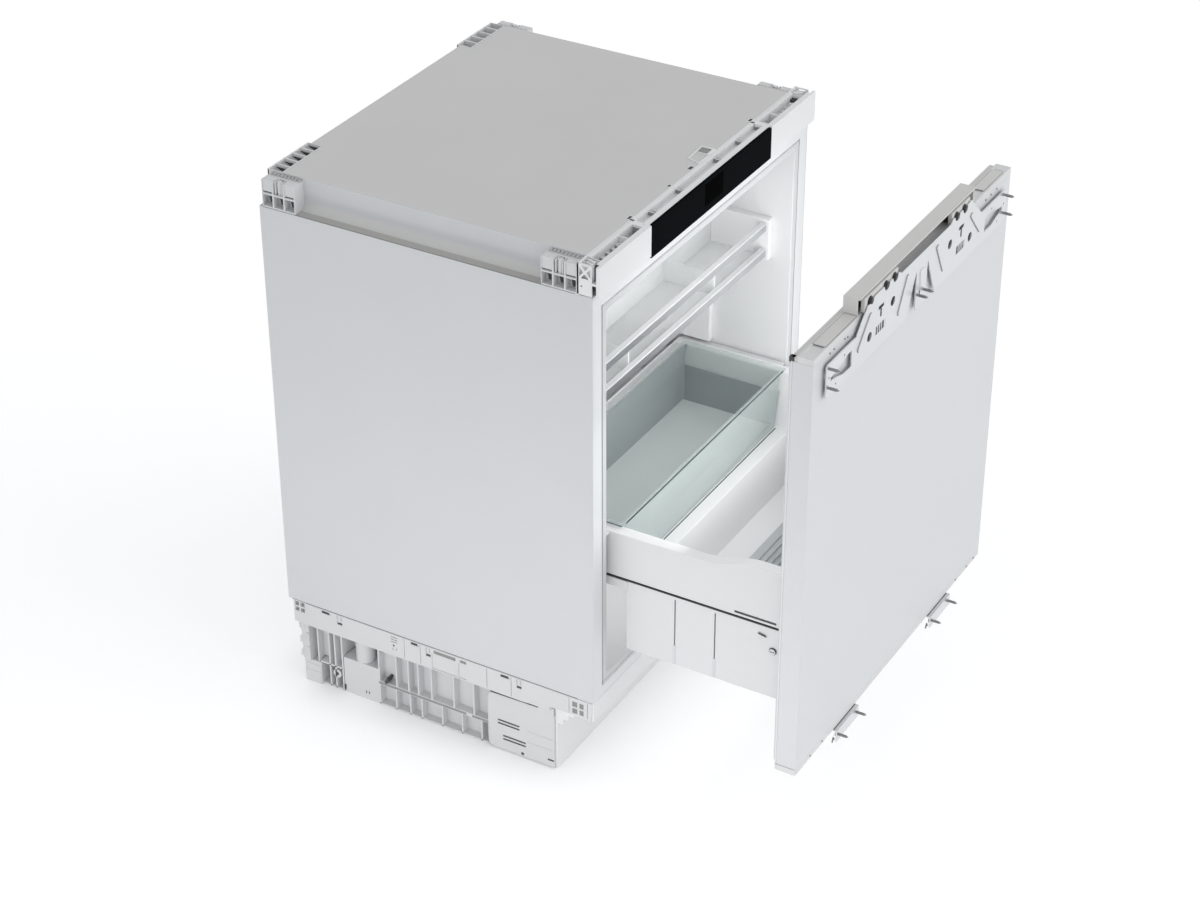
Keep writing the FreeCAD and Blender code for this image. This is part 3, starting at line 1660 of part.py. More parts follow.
# Clear storage bin: tapered body with a flat rim that lies on the tub's rim
bin_foot = (tray_floor + wall).number
bin_head = size.tub_rim.number
rim_rear = (tub_rear - size.bin_rear_gap).number
rim_front = rim_rear - size.bin_rim_length.number
rim_half = (inner_half + size.bin_rim_width).number
body_half = (inner_half - size.bin_side_gap).number
floor_half = body_half - size.bin_taper.number
floor_front = rim_front + size.bin_front_inset.number


def bin_loft(inset, foot, head):
    """The tapered inside or outside of the bin between two heights."""
    rings = []
    for half_width, low, high, level in (
        (floor_half, floor_front, floor_front + size.bin_floor_length.number, foot),
        (body_half, rim_front, rim_rear, head),
    ):
        corners = [
            FreeCAD.Vector(-half_width + inset, low + inset, level),
            FreeCAD.Vector(half_width - inset, low + inset, level),
            FreeCAD.Vector(half_width - inset, high - inset, level),
            FreeCAD.Vector(-half_width + inset, high - inset, level),
        ]
        rings.append(Part.makePolygon(corners + corners[:1]))
    return Part.makeLoft(rings, True, True)


bin_thick = size.bin_wall.number
rim_height = size.bin_rim_height.number
rim_plate = Part.makeBox(
    2 * rim_half, rim_rear - rim_front, rim_height, FreeCAD.Vector(-rim_half, rim_front, bin_head)
)
rim_hole = Part.makeBox(
    2 * (body_half - bin_thick),
    rim_rear - rim_front - 2 * bin_thick,
    rim_height + 2 * over.number,
    FreeCAD.Vector(-body_half + bin_thick, rim_front + bin_thick, bin_head - over.number),
)
bin_body = bin_loft(0, bin_foot, bin_head).fuse(rim_plate).removeSplitter()
storage_bin = doc.addObject("Part::Feature", "storage_bin")
storage_bin.Shape = bin_body.cut(bin_loft(bin_thick, bin_foot + bin_thick, bin_head)).cut(rim_hole)
node(storage_bin, "storage_bin")

# Telescopic rails: the cabinet's rail reaches under the cover, the middle rail runs in it,
# and the drawer's tongue runs in the middle rail
plate = size.rail_plate
thin = size.rail_thin
play = size.rail_play
cover_inside = tub_half - wall
gap_middle = (rail_gap_low + rail_gap_high) / 2
rail_top = size.tub_rim - size.rail_head_gap
flange_low = gap_middle - plate / 2
flange_high = gap_middle + plate / 2
web_outer = cover_inside - play
web_inner = web_outer - plate
rail_front = front + size.rail_front_gap
rail_rear = rail_front + size.rail_length
cabinet_rail = fuse(
    "cabinet_rail_left",
    [
        box(
            "rail_wall_plate",
            (-cavity_half, -cavity_half + plate),
            (rail_front, rail_rear),
            (flange_low, flange_low + size.rail_wall_height),
        ),
        box("rail_flange", (-cavity_half, -web_inner), (rail_front, rail_rear), (flange_low, flange_high)),
        box("rail_web", (-web_outer, -web_inner), (rail_front, rail_rear), (flange_low, rail_top)),
    ],
)
mirrored(node(cabinet_rail, "cabinet_rail_left"), "cabinet_rail_right")

middle_outer = web_inner - play
middle_inner = middle_outer - thin
lip_inner = middle_outer - size.middle_lip
middle_low = rail_gap_high + play
middle_high = rail_top
closed_middle_front = rail_front
middle_front = closed_middle_front - size.rest_travel / 2
middle_rear = middle_front + size.middle_length
middle_run = (middle_front, middle_rear)
middle_rail = fuse(
    "middle_rail_left",
    [
        box("middle_web", (-middle_outer, -middle_inner), middle_run, (middle_low, middle_high)),
        box("middle_lip_low", (-middle_outer, -lip_inner), middle_run, (middle_low, middle_low + thin)),
        box("middle_lip_high", (-middle_outer, -lip_inner), middle_run, (middle_high - thin, middle_high)),
    ],
)
mirrored(node(middle_rail, "middle_rail_left"), "middle_rail_right")

tongue_outer = middle_inner - play
tongue_middle = (middle_low + middle_high) / 2
tongue_half = (middle_high - middle_low) / 2 - thin - play
drawer_rail = box(
    "drawer_rail_left",
    (-tongue_outer, -inner_half),
    (tub_front, tub_rear),
    (tongue_middle - tongue_half, tongue_middle + tongue_half),
)
mirrored(node(drawer_rail, "drawer_rail_left"), "drawer_rail_right")

# Every object is sound before anything is written
doc.recompute()
for item in doc.Objects:
    if "Invalid" in item.State or "Error" in item.State:
        raise RuntimeError(f"{item.Name} failed: {item.State}")
for item in nodes:
    if item.Shape.isNull() or not item.Shape.isValid() or not item.Shape.Solids:
        raise RuntimeError(f"{item.Label} has no sound solid")
for item in nodes:
    item.Shape.exportStep(f"parts/{item.Label}.step")
    print(item.Label, len(item.Shape.Solids), round(item.Shape.Volume))
print(len(nodes), "pieces")
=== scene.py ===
# %% [markdown]
# An undercounter fridge with a pull-out front, shown with its front drawn half way out. The
# solids of the appliance are already made and packed. This lesson loads them as a fixed frame,
# rounds their edges, adds the small mouldings that a maker would notice, and gives every surface
# a finish.

import json
import math

import bmesh
import bpy
from mathutils import Matrix, Vector

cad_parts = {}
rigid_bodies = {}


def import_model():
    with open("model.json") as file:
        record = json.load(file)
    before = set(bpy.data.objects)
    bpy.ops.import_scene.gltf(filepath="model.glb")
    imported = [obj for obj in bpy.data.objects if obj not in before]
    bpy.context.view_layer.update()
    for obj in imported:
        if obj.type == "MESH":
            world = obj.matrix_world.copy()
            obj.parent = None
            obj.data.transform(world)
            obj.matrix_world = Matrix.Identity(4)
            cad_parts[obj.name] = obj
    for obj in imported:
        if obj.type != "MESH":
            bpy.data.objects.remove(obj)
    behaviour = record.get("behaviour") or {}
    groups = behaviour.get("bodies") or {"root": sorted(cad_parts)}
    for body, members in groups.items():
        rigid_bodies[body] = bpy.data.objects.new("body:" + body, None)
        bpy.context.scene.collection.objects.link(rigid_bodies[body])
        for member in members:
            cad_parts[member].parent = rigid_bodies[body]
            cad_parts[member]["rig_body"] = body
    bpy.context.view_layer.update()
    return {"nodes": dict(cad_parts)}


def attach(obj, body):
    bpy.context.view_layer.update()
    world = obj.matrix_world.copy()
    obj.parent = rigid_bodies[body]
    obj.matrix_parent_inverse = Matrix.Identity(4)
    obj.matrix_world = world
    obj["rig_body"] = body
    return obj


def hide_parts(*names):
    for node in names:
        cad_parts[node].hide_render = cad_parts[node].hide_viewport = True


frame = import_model()
scene = bpy.context.scene
MM = 0.001

# %% [markdown]
# The camera looks down on the left front corner from a height, with a long lens. Its place could
# be found by eye, but lines that are level or upright on the appliance give it more exactly. Its
# three axes are written from a turn, a tilt and a slight roll, and go straight into the camera's
# matrix.

# %% Camera
turn, tilt, roll = (math.radians(angle) for angle in (-59.82, 32.24, -0.12))
back = Vector((math.sin(turn) * math.cos(tilt), -math.cos(turn) * math.cos(tilt), math.sin(tilt)))
level = Vector((0, 0, 1)).cross(back).normalized()
upright = back.cross(level)
across = math.cos(roll) * level + math.sin(roll) * upright
upwards = math.cos(roll) * upright - math.sin(roll) * level
lens = bpy.data.cameras.new("long_lens")
lens.sensor_fit = "HORIZONTAL"
lens.sensor_width = 36
lens.lens = 82.755
lens.clip_end = 50
camera = bpy.data.objects.new("camera", lens)
scene.collection.objects.link(camera)
place = Vector((-2.8743, -1.7618, 2.4281))
facing = Matrix((across, upwards, back)).transposed().to_4x4()
camera.matrix_world = Matrix.Translation(place) @ facing
scene.camera = camera
print("camera at", tuple(camera.location))

# %% [markdown]
# The light is that of a white studio, with white walls all round that are brighter than the
# ceiling. The world could be plain white, but then nothing would be modelled by light. So rays
# from the camera, and those that metal and clear plastic send on, see white, and the light itself
# fades from the walls up to the ceiling. Small helpers make and link the nodes, and one finds
# those rays, because the floor needs them too.

# %% World
WALL_LIGHT, CEILING_LIGHT = 1.08, 0.50


def feed(tree, socket, given):
    """Link an input to another node's output, or set it to a value."""
    if isinstance(given, bpy.types.NodeSocket):
        tree.links.new(given, socket)
    else:
        socket.default_value = given


def add(tree, kind, *given, **named):
    """A new node; what is given feeds its inputs in their order, or by their names."""
    node = tree.nodes.new(kind)
    for socket, source in zip(node.inputs, given):
        feed(tree, socket, source)
    for name, source in named.items():
        feed(tree, node.inputs[name.replace("_", " ")], source)
    return node


def reckon(tree, operation, first, second):
    """The output of a node that reckons a value from two others."""
    node = add(tree, "ShaderNodeMath", first, second)
    node.operation = operation
    return node.outputs[0]


def direct_rays(tree):
    """One for rays from the camera and those that gloss or clear plastic sends on, else nought."""
    rays = add(tree, "ShaderNodeLightPath").outputs
    seen = reckon(tree, "MAXIMUM", rays["Is Camera Ray"], rays["Is Glossy Ray"])
    return reckon(tree, "MAXIMUM", seen, rays["Is Transmission Ray"])


world = bpy.data.worlds.new("white_studio")
scene.world = world
world.use_nodes = True
sky = world.node_tree
sky.nodes.clear()
sky_where = add(sky, "ShaderNodeTexCoord").outputs["Generated"]
height = add(sky, "ShaderNodeSeparateXYZ", sky_where).outputs["Z"]
fade = add(sky, "ShaderNodeMapRange", height, To_Min=WALL_LIGHT, To_Max=CEILING_LIGHT)
sky_light = add(sky, "ShaderNodeBackground", (0.97, 0.985, 1.0, 1), fade.outputs["Result"])
sky_white = add(sky, "ShaderNodeBackground", (1, 1, 1, 1), 1.0)
shaders = sky_light.outputs[0], sky_white.outputs[0]
sky_mix = add(sky, "ShaderNodeMixShader", direct_rays(sky), *shaders)
add(sky, "ShaderNodeOutputWorld", sky_mix.outputs[0])
scene.view_settings.view_transform = "Standard"
print("world of", len(sky.nodes), "nodes")

# %% [markdown]
# Two large lamps help the walls: one low in front, as soft as a window, and one near the floor at
# the left, which lifts the ribbed base. Small lamps would throw hard shadows and show as spots in
# metal.

# %% Lamps
lamp = bpy.data.lights.new("front_lamp", "SUN")
lamp.energy = 0.84
lamp.angle = math.radians(70)
lamp_holder = bpy.data.objects.new("front_lamp", lamp)
lamp_holder.rotation_euler = Vector((0.30, -0.93, 0.20)).to_track_quat("Z", "Y").to_euler()
scene.collection.objects.link(lamp_holder)


def soft_lamp(name, place, aim, size, power, body=None):
    """A rectangular lamp that shines against its aim, isn't seen itself and may ride on a body."""
    soft = bpy.data.lights.new(name, "AREA")
    soft.shape = "RECTANGLE"
    soft.size, soft.size_y = size
    soft.energy = power
    holder = bpy.data.objects.new(name, soft)
    holder.rotation_euler = Vector(aim).to_track_quat("Z", "Y").to_euler()
    holder.location = place
    holder.visible_camera = holder.visible_glossy = holder.visible_transmission = False
    scene.collection.objects.link(holder)
    if body:
        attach(holder, body)


soft_lamp("side_lamp", (-1.0, -0.32, 0.12), (-1, -0.1, 0.0), (1.5, 0.2), 2.1)
print("front lamp and side lamp set")

# %% [markdown]
# A fridge lights its own inside when it is opened. Light from the thin strip under its ceiling
# would glare on the shelf and leave the rest dark, so soft lamps do the same work evenly. One
# fills the cavity from the opening, one shines down on the tub's left rim, one stands for the
# light that the floor throws up under the tub, and one lights the low space behind it. The first
# three ride on the pull-out, so that they stay behind the front when it is shut.

# %% Inside light
soft_lamp("cavity_lamp", (0, -0.35, 0.52), (0, -1, 0.12), (0.46, 0.42), 1.0, "pull_out")
soft_lamp("rim_lamp", (-0.235, -0.41, 0.60), (0, 0, 1), (0.03, 0.20), 0.09, "pull_out")
soft_lamp("low_lamp", (0, -0.43, 0.13), (0, -1, -0.35), (0.50, 0.12), 0.12, "pull_out")
soft_lamp("step_lamp", (-0.04, -0.17, 0.303), (0, 0, 1), (0.40, 0.17), 0.20)
print("four lamps behind the front")

# %% [markdown]
# The floor is a flat sheet that reaches past the edges of the picture. It belongs to the stage
# and not to the appliance.

# %% Floor sheet
FLOOR_HALF = 14
ground = bmesh.new()
bmesh.ops.create_grid(ground, x_segments=8, y_segments=8, size=FLOOR_HALF)
ground_mesh = bpy.data.meshes.new("floor")
ground.to_mesh(ground_mesh)
ground.free()
floor = bpy.data.objects.new("floor", ground_mesh)
scene.collection.objects.link(floor)
print("floor of", round(floor.dimensions.x, 1), "m")

# %% [markdown]
# A studio floor is white and keeps a soft shadow. More light would make it white, but bleach the
# appliance too. So its colour is pale, and a glow that only the direct rays see lifts the open
# floor to white. Close to the appliance the glow fades, as light does in a narrow corner.

# %% Floor finish
MIX_FIRST, MIX_SECOND, MIX_RESULT = 6, 7, 2
GLOW, CORNER_REACH = 0.345, 0.08


def blend(tree, share, first, second):
    """A colour that lies between two others; the share comes from another node."""
    node = tree.nodes.new("ShaderNodeMix")
    node.data_type = "RGBA"
    for place, given in ((0, share), (MIX_FIRST, first), (MIX_SECOND, second)):
        feed(tree, node.inputs[place], given)
    return node.outputs[MIX_RESULT]


pale = bpy.data.materials.new("pale_floor")
pale.use_nodes = True
tree = pale.node_tree
tree.nodes.clear()
where = add(tree, "ShaderNodeTexCoord").outputs["Object"]
speckle = add(tree, "ShaderNodeTexNoise", Vector=where, Scale=1.5).outputs["Fac"]
tone = blend(tree, speckle, (0.90, 0.90, 0.90, 1), (0.93, 0.93, 0.93, 1))
matt = add(tree, "ShaderNodeBsdfDiffuse", Color=tone)
corner = add(tree, "ShaderNodeAmbientOcclusion", Distance=CORNER_REACH).outputs["AO"]
lift = reckon(tree, "MULTIPLY", direct_rays(tree), GLOW)
glow = add(tree, "ShaderNodeEmission", Strength=reckon(tree, "MULTIPLY", lift, corner))
both = add(tree, "ShaderNodeAddShader", matt.outputs[0], glow.outputs[0])
add(tree, "ShaderNodeOutputMaterial", both.outputs[0])
ground_mesh.materials.append(pale)
print("floor finish of", len(tree.nodes), "nodes")

# %% [markdown]
# Nearly every part is moulded plastic, coated sheet, bare metal or rubber. One flat colour would
# look like a toy, because real mouldings are slightly cloudy and have a fine grain. So a finish
# is made from noise of two sizes: clouds in the colour, and a grain in the gloss and in a fine
# bump. Noise on object coordinates keeps its scale on every piece.

# %% Helper for grained finishes
CLOUD_SCALE, RELIEF_DEPTH, GLOSS_SPREAD = 9, 0.0004, 0.15


def grained(name, colour, gloss, clouds, grain, bump, stretch=(1, 1, 1), **fixed):
    """A finish with cloudy colour, uneven gloss and a fine grain; gloss is the mean roughness."""
    finish = bpy.data.materials.new(name)
    finish.use_nodes = True
    tree = finish.node_tree
    where = add(tree, "ShaderNodeTexCoord").outputs["Object"]
    cloud = add(tree, "ShaderNodeTexNoise", Vector=where, Scale=CLOUD_SCALE, Detail=4)
    darker = [channel * (1 - clouds) for channel in colour]
    lighter = [min(1, channel * (1 + clouds)) for channel in colour]
    drawn = add(tree, "ShaderNodeMapping", Vector=where, Scale=stretch).outputs["Vector"]
    fine = add(tree, "ShaderNodeTexNoise", Vector=drawn, Scale=grain, Detail=3).outputs["Fac"]
    low, high = gloss * (1 - GLOSS_SPREAD), min(1, gloss * (1 + GLOSS_SPREAD))
    sheen = add(tree, "ShaderNodeMapRange", Value=fine, To_Min=low, To_Max=high)
    relief = add(tree, "ShaderNodeBump", Strength=bump, Distance=RELIEF_DEPTH, Height=fine)
    fixed["Base_Color"] = blend(tree, cloud.outputs["Fac"], darker + [1], lighter + [1])
    fixed["Roughness"] = sheen.outputs["Result"]
    fixed["Normal"] = relief.outputs["Normal"]
    for name, source in fixed.items():
        feed(tree, tree.nodes["Principled BSDF"].inputs[name.replace("_", " ")], source)
    return finish


print("helper ready for finishes with clouds at scale", CLOUD_SCALE)

# %% [markdown]
# Each material slot of the imported solids gets its finish. Bare colours would be shorter, but
# gloss and grain tell materials apart as much as colour does. Parts that differ slightly from the
# rest of their slot have coats of their own: the caps are a grey moulding, and lighter and darker
# copies for the front frame, the door, the tub and the shelf supports paint in light and shade, the
# frame's over a whiter coat of its own. Three dark finishes, from grey to nearly black, paint the
# shade in pockets and slots that light hardly reaches; the grey one also colours clip teeth.

# %% Finishes of plastic, paint and rubber
finishes = {
    "painted_sheet": grained("coated_sheet", (0.635, 0.645, 0.655), 0.38, 0.02, 260, 0.03),
    "white_plastic": grained("white_moulding", (0.80, 0.805, 0.81), 0.42, 0.02, 1100, 0.05),
    "lid_grey": grained("grey_lid_moulding", (0.615, 0.61, 0.60), 0.5, 0.03, 1400, 0.12),
    "base_plastic": grained("base_moulding", (0.66, 0.665, 0.67), 0.5, 0.03, 1000, 0.08),
    "warm_grey_plastic": grained("warm_grey_moulding", (0.66, 0.648, 0.635), 0.5, 0.03, 1200, 0.1),
    "black_glass": grained("black_glass", (0.003, 0.004, 0.005), 0.12, 0.2, 300, 0.0, IOR=1.03),
    "black_plastic": grained("black_moulding", (0.02, 0.02, 0.021), 0.45, 0.1, 1000, 0.1),
    "lamp_lens": grained(
        "frosted_lens", (0.86, 0.86, 0.85), 0.55, 0.02, 700, 0.05,
        Emission_Color=(1.0, 0.99, 0.97, 1), Emission_Strength=1.2,
    ),
    "foam": grained("insulation_foam", (0.74, 0.66, 0.44), 0.9, 0.1, 220, 0.6),
    "seal_rubber": grained("seal_rubber", (0.68, 0.69, 0.70), 0.7, 0.03, 1300, 0.15),
    "mat_rubber": grained("ribbed_mat_rubber", (0.46, 0.48, 0.49), 0.75, 0.04, 1200, 0.2),
    "mount_rubber": grained("black_rubber", (0.03, 0.03, 0.03), 0.75, 0.1, 1200, 0.2),
    "compressor_black": grained("black_enamel", (0.018, 0.018, 0.02), 0.3, 0.1, 300, 0.06),
    "board_green": grained("circuit_board", (0.03, 0.16, 0.07), 0.4, 0.1, 500, 0.05),
}
# painted light: a whiter copy of the white moulding for the shelf supports and the tub's rim
painted_light_white = grained("moulding_painted_lighter", (0.88, 0.885, 0.89), 0.42, 0.02, 1100, 0.05)
# grey for the clip teeth, and painted shade on the floors of the rear pockets
teeth_grey_and_pocket_shade = grained("grey_teeth_and_pocket_shade", (0.48, 0.475, 0.465), 0.6, 0.05, 1200, 0.1)
shaded = grained("shaded_moulding", (0.28, 0.277, 0.27), 0.6, 0.05, 1200, 0.1)
# the front frame's coat is whiter than the sheet, and painted lighter still for the light the door
# keeps off it
front_coat_and_painted_light = grained("coated_front_and_painted_light", (0.76, 0.77, 0.78), 0.38, 0.02, 260, 0.03)
# painted light: the door's coat is a lighter copy of the painted sheet, for light on its face and
# edge
door_painted_light_coat = grained("coated_door_painted_lighter", (0.685, 0.695, 0.705), 0.38, 0.02, 260, 0.03)
# painted shade: the tub's white is a darker copy of the white moulding, to take back light it gets
# too much of
tub_painted_shade_coat = grained("tub_moulding_painted_darker", (0.735, 0.74, 0.745), 0.42, 0.02, 1100, 0.05)
cap_grey = grained("grey_cap_moulding", (0.70, 0.70, 0.70), 0.45, 0.02, 1100, 0.06)
# painted shade: nearly black, for the bottoms of deep slots, cells and holes
deep = grained("deep_slot_shade", (0.06, 0.06, 0.062), 0.6, 0.1, 1200, 0.1)
print(len(finishes), "grained finishes")

# %% [markdown]
# Metal shows the marks of how it was made: drawn trim and rolled sheet have fine lines along
# their length. The same helper makes them when its noise is stretched along one axis and the
# shader is metallic. Rails and brackets run in different directions, so each gets its own
# stretch.

# %% Finishes of metal
finishes.update(
    trim_aluminium=grained(
        "satin_trim", (0.60, 0.61, 0.62), 0.40, 0.02, 700, 0.06, (0.02, 1, 1), Metallic=1.0
    ),
    bracket_steel=grained(
        "zinc_plated_sheet", (0.70, 0.71, 0.72), 0.36, 0.05, 800, 0.08, (0.1, 1, 1), Metallic=1.0
    ),
    rail_steel=grained(
        "rolled_rail", (0.60, 0.61, 0.62), 0.32, 0.04, 800, 0.08, (1, 0.02, 1), Metallic=1.0
    ),
    screw_steel=grained(
        "screw_zinc", (0.26, 0.26, 0.26), 0.4, 0.08, 900, 0.1, (1, 0.3, 1), Metallic=1.0
    ),
    pipe_copper=grained("copper_pipe", (0.72, 0.36, 0.22), 0.3, 0.08, 700, 0.08, Metallic=1.0),
)
print("metal finishes added")

# %% [markdown]
# The storage bin and the upper shelf are clear plastic with a cool tint. A solid block of
# refracting plastic would be dark at every edge and slow to trace. Thin moulded walls are better
# shown by a tinted sheet that lets part of the light straight through and has a sharp gloss.

# %% Finishes of clear plastic
CLEAR_GLOSS, CLEAR_IOR = 0.08, 1.49


def clear(name, tint, body_share):
    """Tinted clear plastic; body_share is how much of the light the sheet keeps."""
    return grained(name, tint, CLEAR_GLOSS, 0.03, 60, 0.02, IOR=CLEAR_IOR, Alpha=body_share)


finishes["clear_plastic"] = clear("bin_plastic", (0.60, 0.68, 0.66), 0.30)
finishes["shelf_clear"] = clear("shelf_plastic", (0.93, 0.95, 0.95), 0.5)
print(len(finishes), "finishes in all")

# %% [markdown]
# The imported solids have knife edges, which no moulding has. Their meshes may not be changed, so
# each shown solid is copied, its loose triangles are merged and its flat faces joined, and a
# bevel rounds its sharp edges. A modifier does this well, because it can keep flat faces shading
# flat.

# %% Rounding helper
SHARP_ANGLE, BEVEL_STEPS = 32, 2


def round_edges(piece, radius):
    """Round a piece's sharp edges by a live bevel; the radius is in millimetres."""
    bevel = piece.modifiers.new("rounded_edges", "BEVEL")
    bevel.width = radius * MM
    bevel.segments = BEVEL_STEPS
    bevel.limit_method = "ANGLE"
    bevel.angle_limit = math.radians(SHARP_ANGLE)
    even = piece.modifiers.new("even_shading", "WEIGHTED_NORMAL")
    even.keep_sharp = True


slots = {}
for node, solid in frame["nodes"].items():
    slots[node] = solid.data.materials[0].name.split(".")[0]
print("slots known of", len(slots), "solids")

# %% [markdown]
# Every piece, new or copied, gets a finish from its slot unless one is named, rounded edges and
# its body, and it may stand for an imported solid, which is then hidden. One helper does it all,
# so that no piece misses a step.

# %% Helpers for pieces and copies
MERGE_DISTANCE, FLAT_ANGLE = 0.00001, 0.5


def piece_from(name, shape, slot, body, radius, stands_for=(), finish=None):
    """Turn a bmesh into a piece that rides on a body; its slot gives a finish if none is named."""
    mesh = bpy.data.meshes.new(name)
    shape.to_mesh(mesh)
    shape.free()
    mesh.shade_smooth()
    mesh.materials.append(finish or finishes[slot])
    piece = bpy.data.objects.new(name, mesh)
    scene.collection.objects.link(piece)
    if radius:
        round_edges(piece, radius)
    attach(piece, body)
    if stands_for:
        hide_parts(*stands_for)
    return piece


def rounded_copy(node, radius, finish=None):
    """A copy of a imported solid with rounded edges, shown in its place."""
    solid, shape = frame["nodes"][node], bmesh.new()
    shape.from_mesh(solid.data)
    bmesh.ops.remove_doubles(shape, verts=shape.verts, dist=MERGE_DISTANCE)
    bmesh.ops.dissolve_limit(
        shape, angle_limit=math.radians(FLAT_ANGLE), verts=shape.verts, edges=shape.edges
    )
    name, body = f"{node}_rounded", solid["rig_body"]
    piece_from(name, shape, slots[node], body, radius, (node,), finish)


print("helpers ready for pieces and copies")

# %% [markdown]
# Mouldings are made of walls, ribs, pegs and plates with openings. Cutting them out of a block
# with booleans leaves ragged faces that don't round well. It is cleaner to build them up: each
# solid keeps its own rounded edges, and where they overlap they read as one moulding.

# %% Helpers for blocks and pegs
TURNS = {"x": Matrix.Rotation(math.pi / 2, 3, "Y"), "y": Matrix.Rotation(-math.pi / 2, 3, "X")}


def block(shape, x, y, z):
    """A box between two distances along each axis, in millimetres."""
    made = bmesh.ops.create_cube(shape, size=1)["verts"]
    bmesh.ops.scale(shape, vec=[(high - low) * MM for low, high in (x, y, z)], verts=made)
    bmesh.ops.translate(shape, vec=[(high + low) / 2 * MM for low, high in (x, y, z)], verts=made)


def peg(shape, axis, centre, radius, length, top=None, sides=24):
    """A round peg with its middle at the centre; top is its other end's radius if it tapers."""
    made = bmesh.ops.create_cone(
        shape, cap_ends=True, segments=sides, radius1=radius * MM,
        radius2=(radius if top is None else top) * MM, depth=length * MM,
    )["verts"]
    bmesh.ops.rotate(shape, cent=(0, 0, 0), matrix=TURNS[axis], verts=made)
    bmesh.ops.translate(shape, vec=Vector(centre) * MM, verts=made)


def mirror_over(shape):
    """Add the mirror image of all that a shape holds so far, across the appliance's middle."""
    everything = shape.verts[:] + shape.edges[:] + shape.faces[:]
    copied = bmesh.ops.duplicate(shape, geom=everything)["geom"]
    verts = [item for item in copied if isinstance(item, bmesh.types.BMVert)]
    bmesh.ops.scale(shape, vec=(-1, 1, 1), verts=verts)
    faces = [item for item in copied if isinstance(item, bmesh.types.BMFace)]
    bmesh.ops.reverse_faces(shape, faces=faces)


print("helpers ready for blocks, pegs and mirror images")

# %% [markdown]
# A plate is filled between its outline and its holes and then extruded, and its corners may be
# rounded first. A slanted bar is a plate with four corners, and a round hole is a ring of points.

# %% Helpers for plates
AXES = {"x": 0, "y": 1, "z": 2}


def plate(shape, axis, loops, near, far, corner=0.0):
    """A plate across an axis from an outline and holes, each a loop of corner points."""
    along = AXES[axis]
    work = bmesh.new()
    for loop in loops:
        corners = []
        for first, second in loop:
            place = [first * MM, second * MM]
            place.insert(along, near * MM)
            corners.append(work.verts.new(place))
        for one, two in zip(corners, corners[1:] + corners[:1]):
            work.edges.new((one, two))
    if corner:
        bmesh.ops.bevel(
            work, geom=work.verts[:], offset=corner * MM, segments=4, profile=0.5,
            affect="VERTICES", material=-1, clamp_overlap=True,
        )
    bmesh.ops.triangle_fill(work, edges=work.edges[:], use_beauty=True)
    grown = bmesh.ops.extrude_face_region(work, geom=work.faces[:])
    shift = Vector((0, 0, 0))
    shift[along] = (far - near) * MM
    moved = [item for item in grown["geom"] if isinstance(item, bmesh.types.BMVert)]
    bmesh.ops.translate(work, vec=shift, verts=moved)
    bmesh.ops.recalc_face_normals(work, faces=work.faces)
    joined = bpy.data.meshes.new("plate_work")
    work.to_mesh(joined)
    work.free()
    shape.from_mesh(joined)
    bpy.data.meshes.remove(joined)


def slanted(shape, axis, start, end, half_width, near, far, corner=0.0):
    """A straight bar between two points of a plane, as wide as twice the half width."""
    start, end = Vector(start), Vector(end)
    run = end - start
    aside = Vector((-run.y, run.x)).normalized() * half_width
    corners = [start - aside, end - aside, end + aside, start + aside]
    plate(shape, axis, [corners], near, far, corner)


def oblong(low, high, foot, head):
    """Corner points of a rectangle."""
    return [(low, foot), (low, head), (high, head), (high, foot)]


def ring(across, up, radius, count=16):
    """Corner points round a hole."""
    steps = [2 * math.pi * step / count for step in range(count)]
    return [(across + radius * math.cos(turn), up + radius * math.sin(turn)) for turn in steps]


print("helpers ready for plates, slanted bars and rings")

# %% [markdown]
# How round an edge is depends on how it was made. Folded sheet has small radii, a moulded inner
# liner has large ones, and stamped brackets are nearly sharp. The table gives each shown solid
# its radius, and a second table names those that have a coat of their own.

# %% Rounded solids
edge_radii = {
    "side_sheet_left": 0.8, "side_sheet_right": 0.8, "rear_panel": 0.6, "rear_grille": 0.5,
    "front_frame": 0.9, "inner_liner": 2.2, "top_plate": 1.0, "control_glass": 0.5,
    "light_strip": 1.0, "top_corner_front_left": 0.5, "top_corner_front_right": 0.5,
    "top_corner_rear_left": 0.5, "top_corner_rear_right": 0.5, "base_side_left": 0.5,
    "base_side_right": 0.5, "service_cover_left": 0.4, "service_cover_right": 0.4,
    "plinth_front": 0.7, "base_pan": 0.5, "shelf_support_left": 1.0, "shelf_support_right": 1.0,
    "shelf_bars": 0.9, "shelf_glass": 0.6, "shelf_dividers": 0.5, "cabinet_rail_left": 0.4,
    "cabinet_rail_right": 0.4, "middle_rail_left": 0.4, "middle_rail_right": 0.4,
    "drawer_rail_left": 0.4, "drawer_rail_right": 0.4, "drawer_tub": 0.8, "bottle_mat": 0.8,
    "front_skin": 1.2, "front_inner_liner": 2.0, "door_gasket": 1.6, "front_cap_top": 0.6,
    "front_cap_bottom": 0.6, "mount_housing": 0.7, "bracket_adjusters": 0.5,
    "lower_brackets": 0.4, "fan_shroud": 0.5, "inlet_socket": 0.6, "evaporation_tray": 1.0,
}
own_finishes = {
    "front_cap_top": cap_grey, "front_cap_bottom": cap_grey, "front_frame": front_coat_and_painted_light,
    "drawer_tub": tub_painted_shade_coat, "front_skin": door_painted_light_coat, "shelf_support_left": painted_light_white,
    "shelf_support_right": painted_light_white,
}
for node, radius in edge_radii.items():
    rounded_copy(node, radius, own_finishes.get(node))
print(len(edge_radii), "solids rounded")

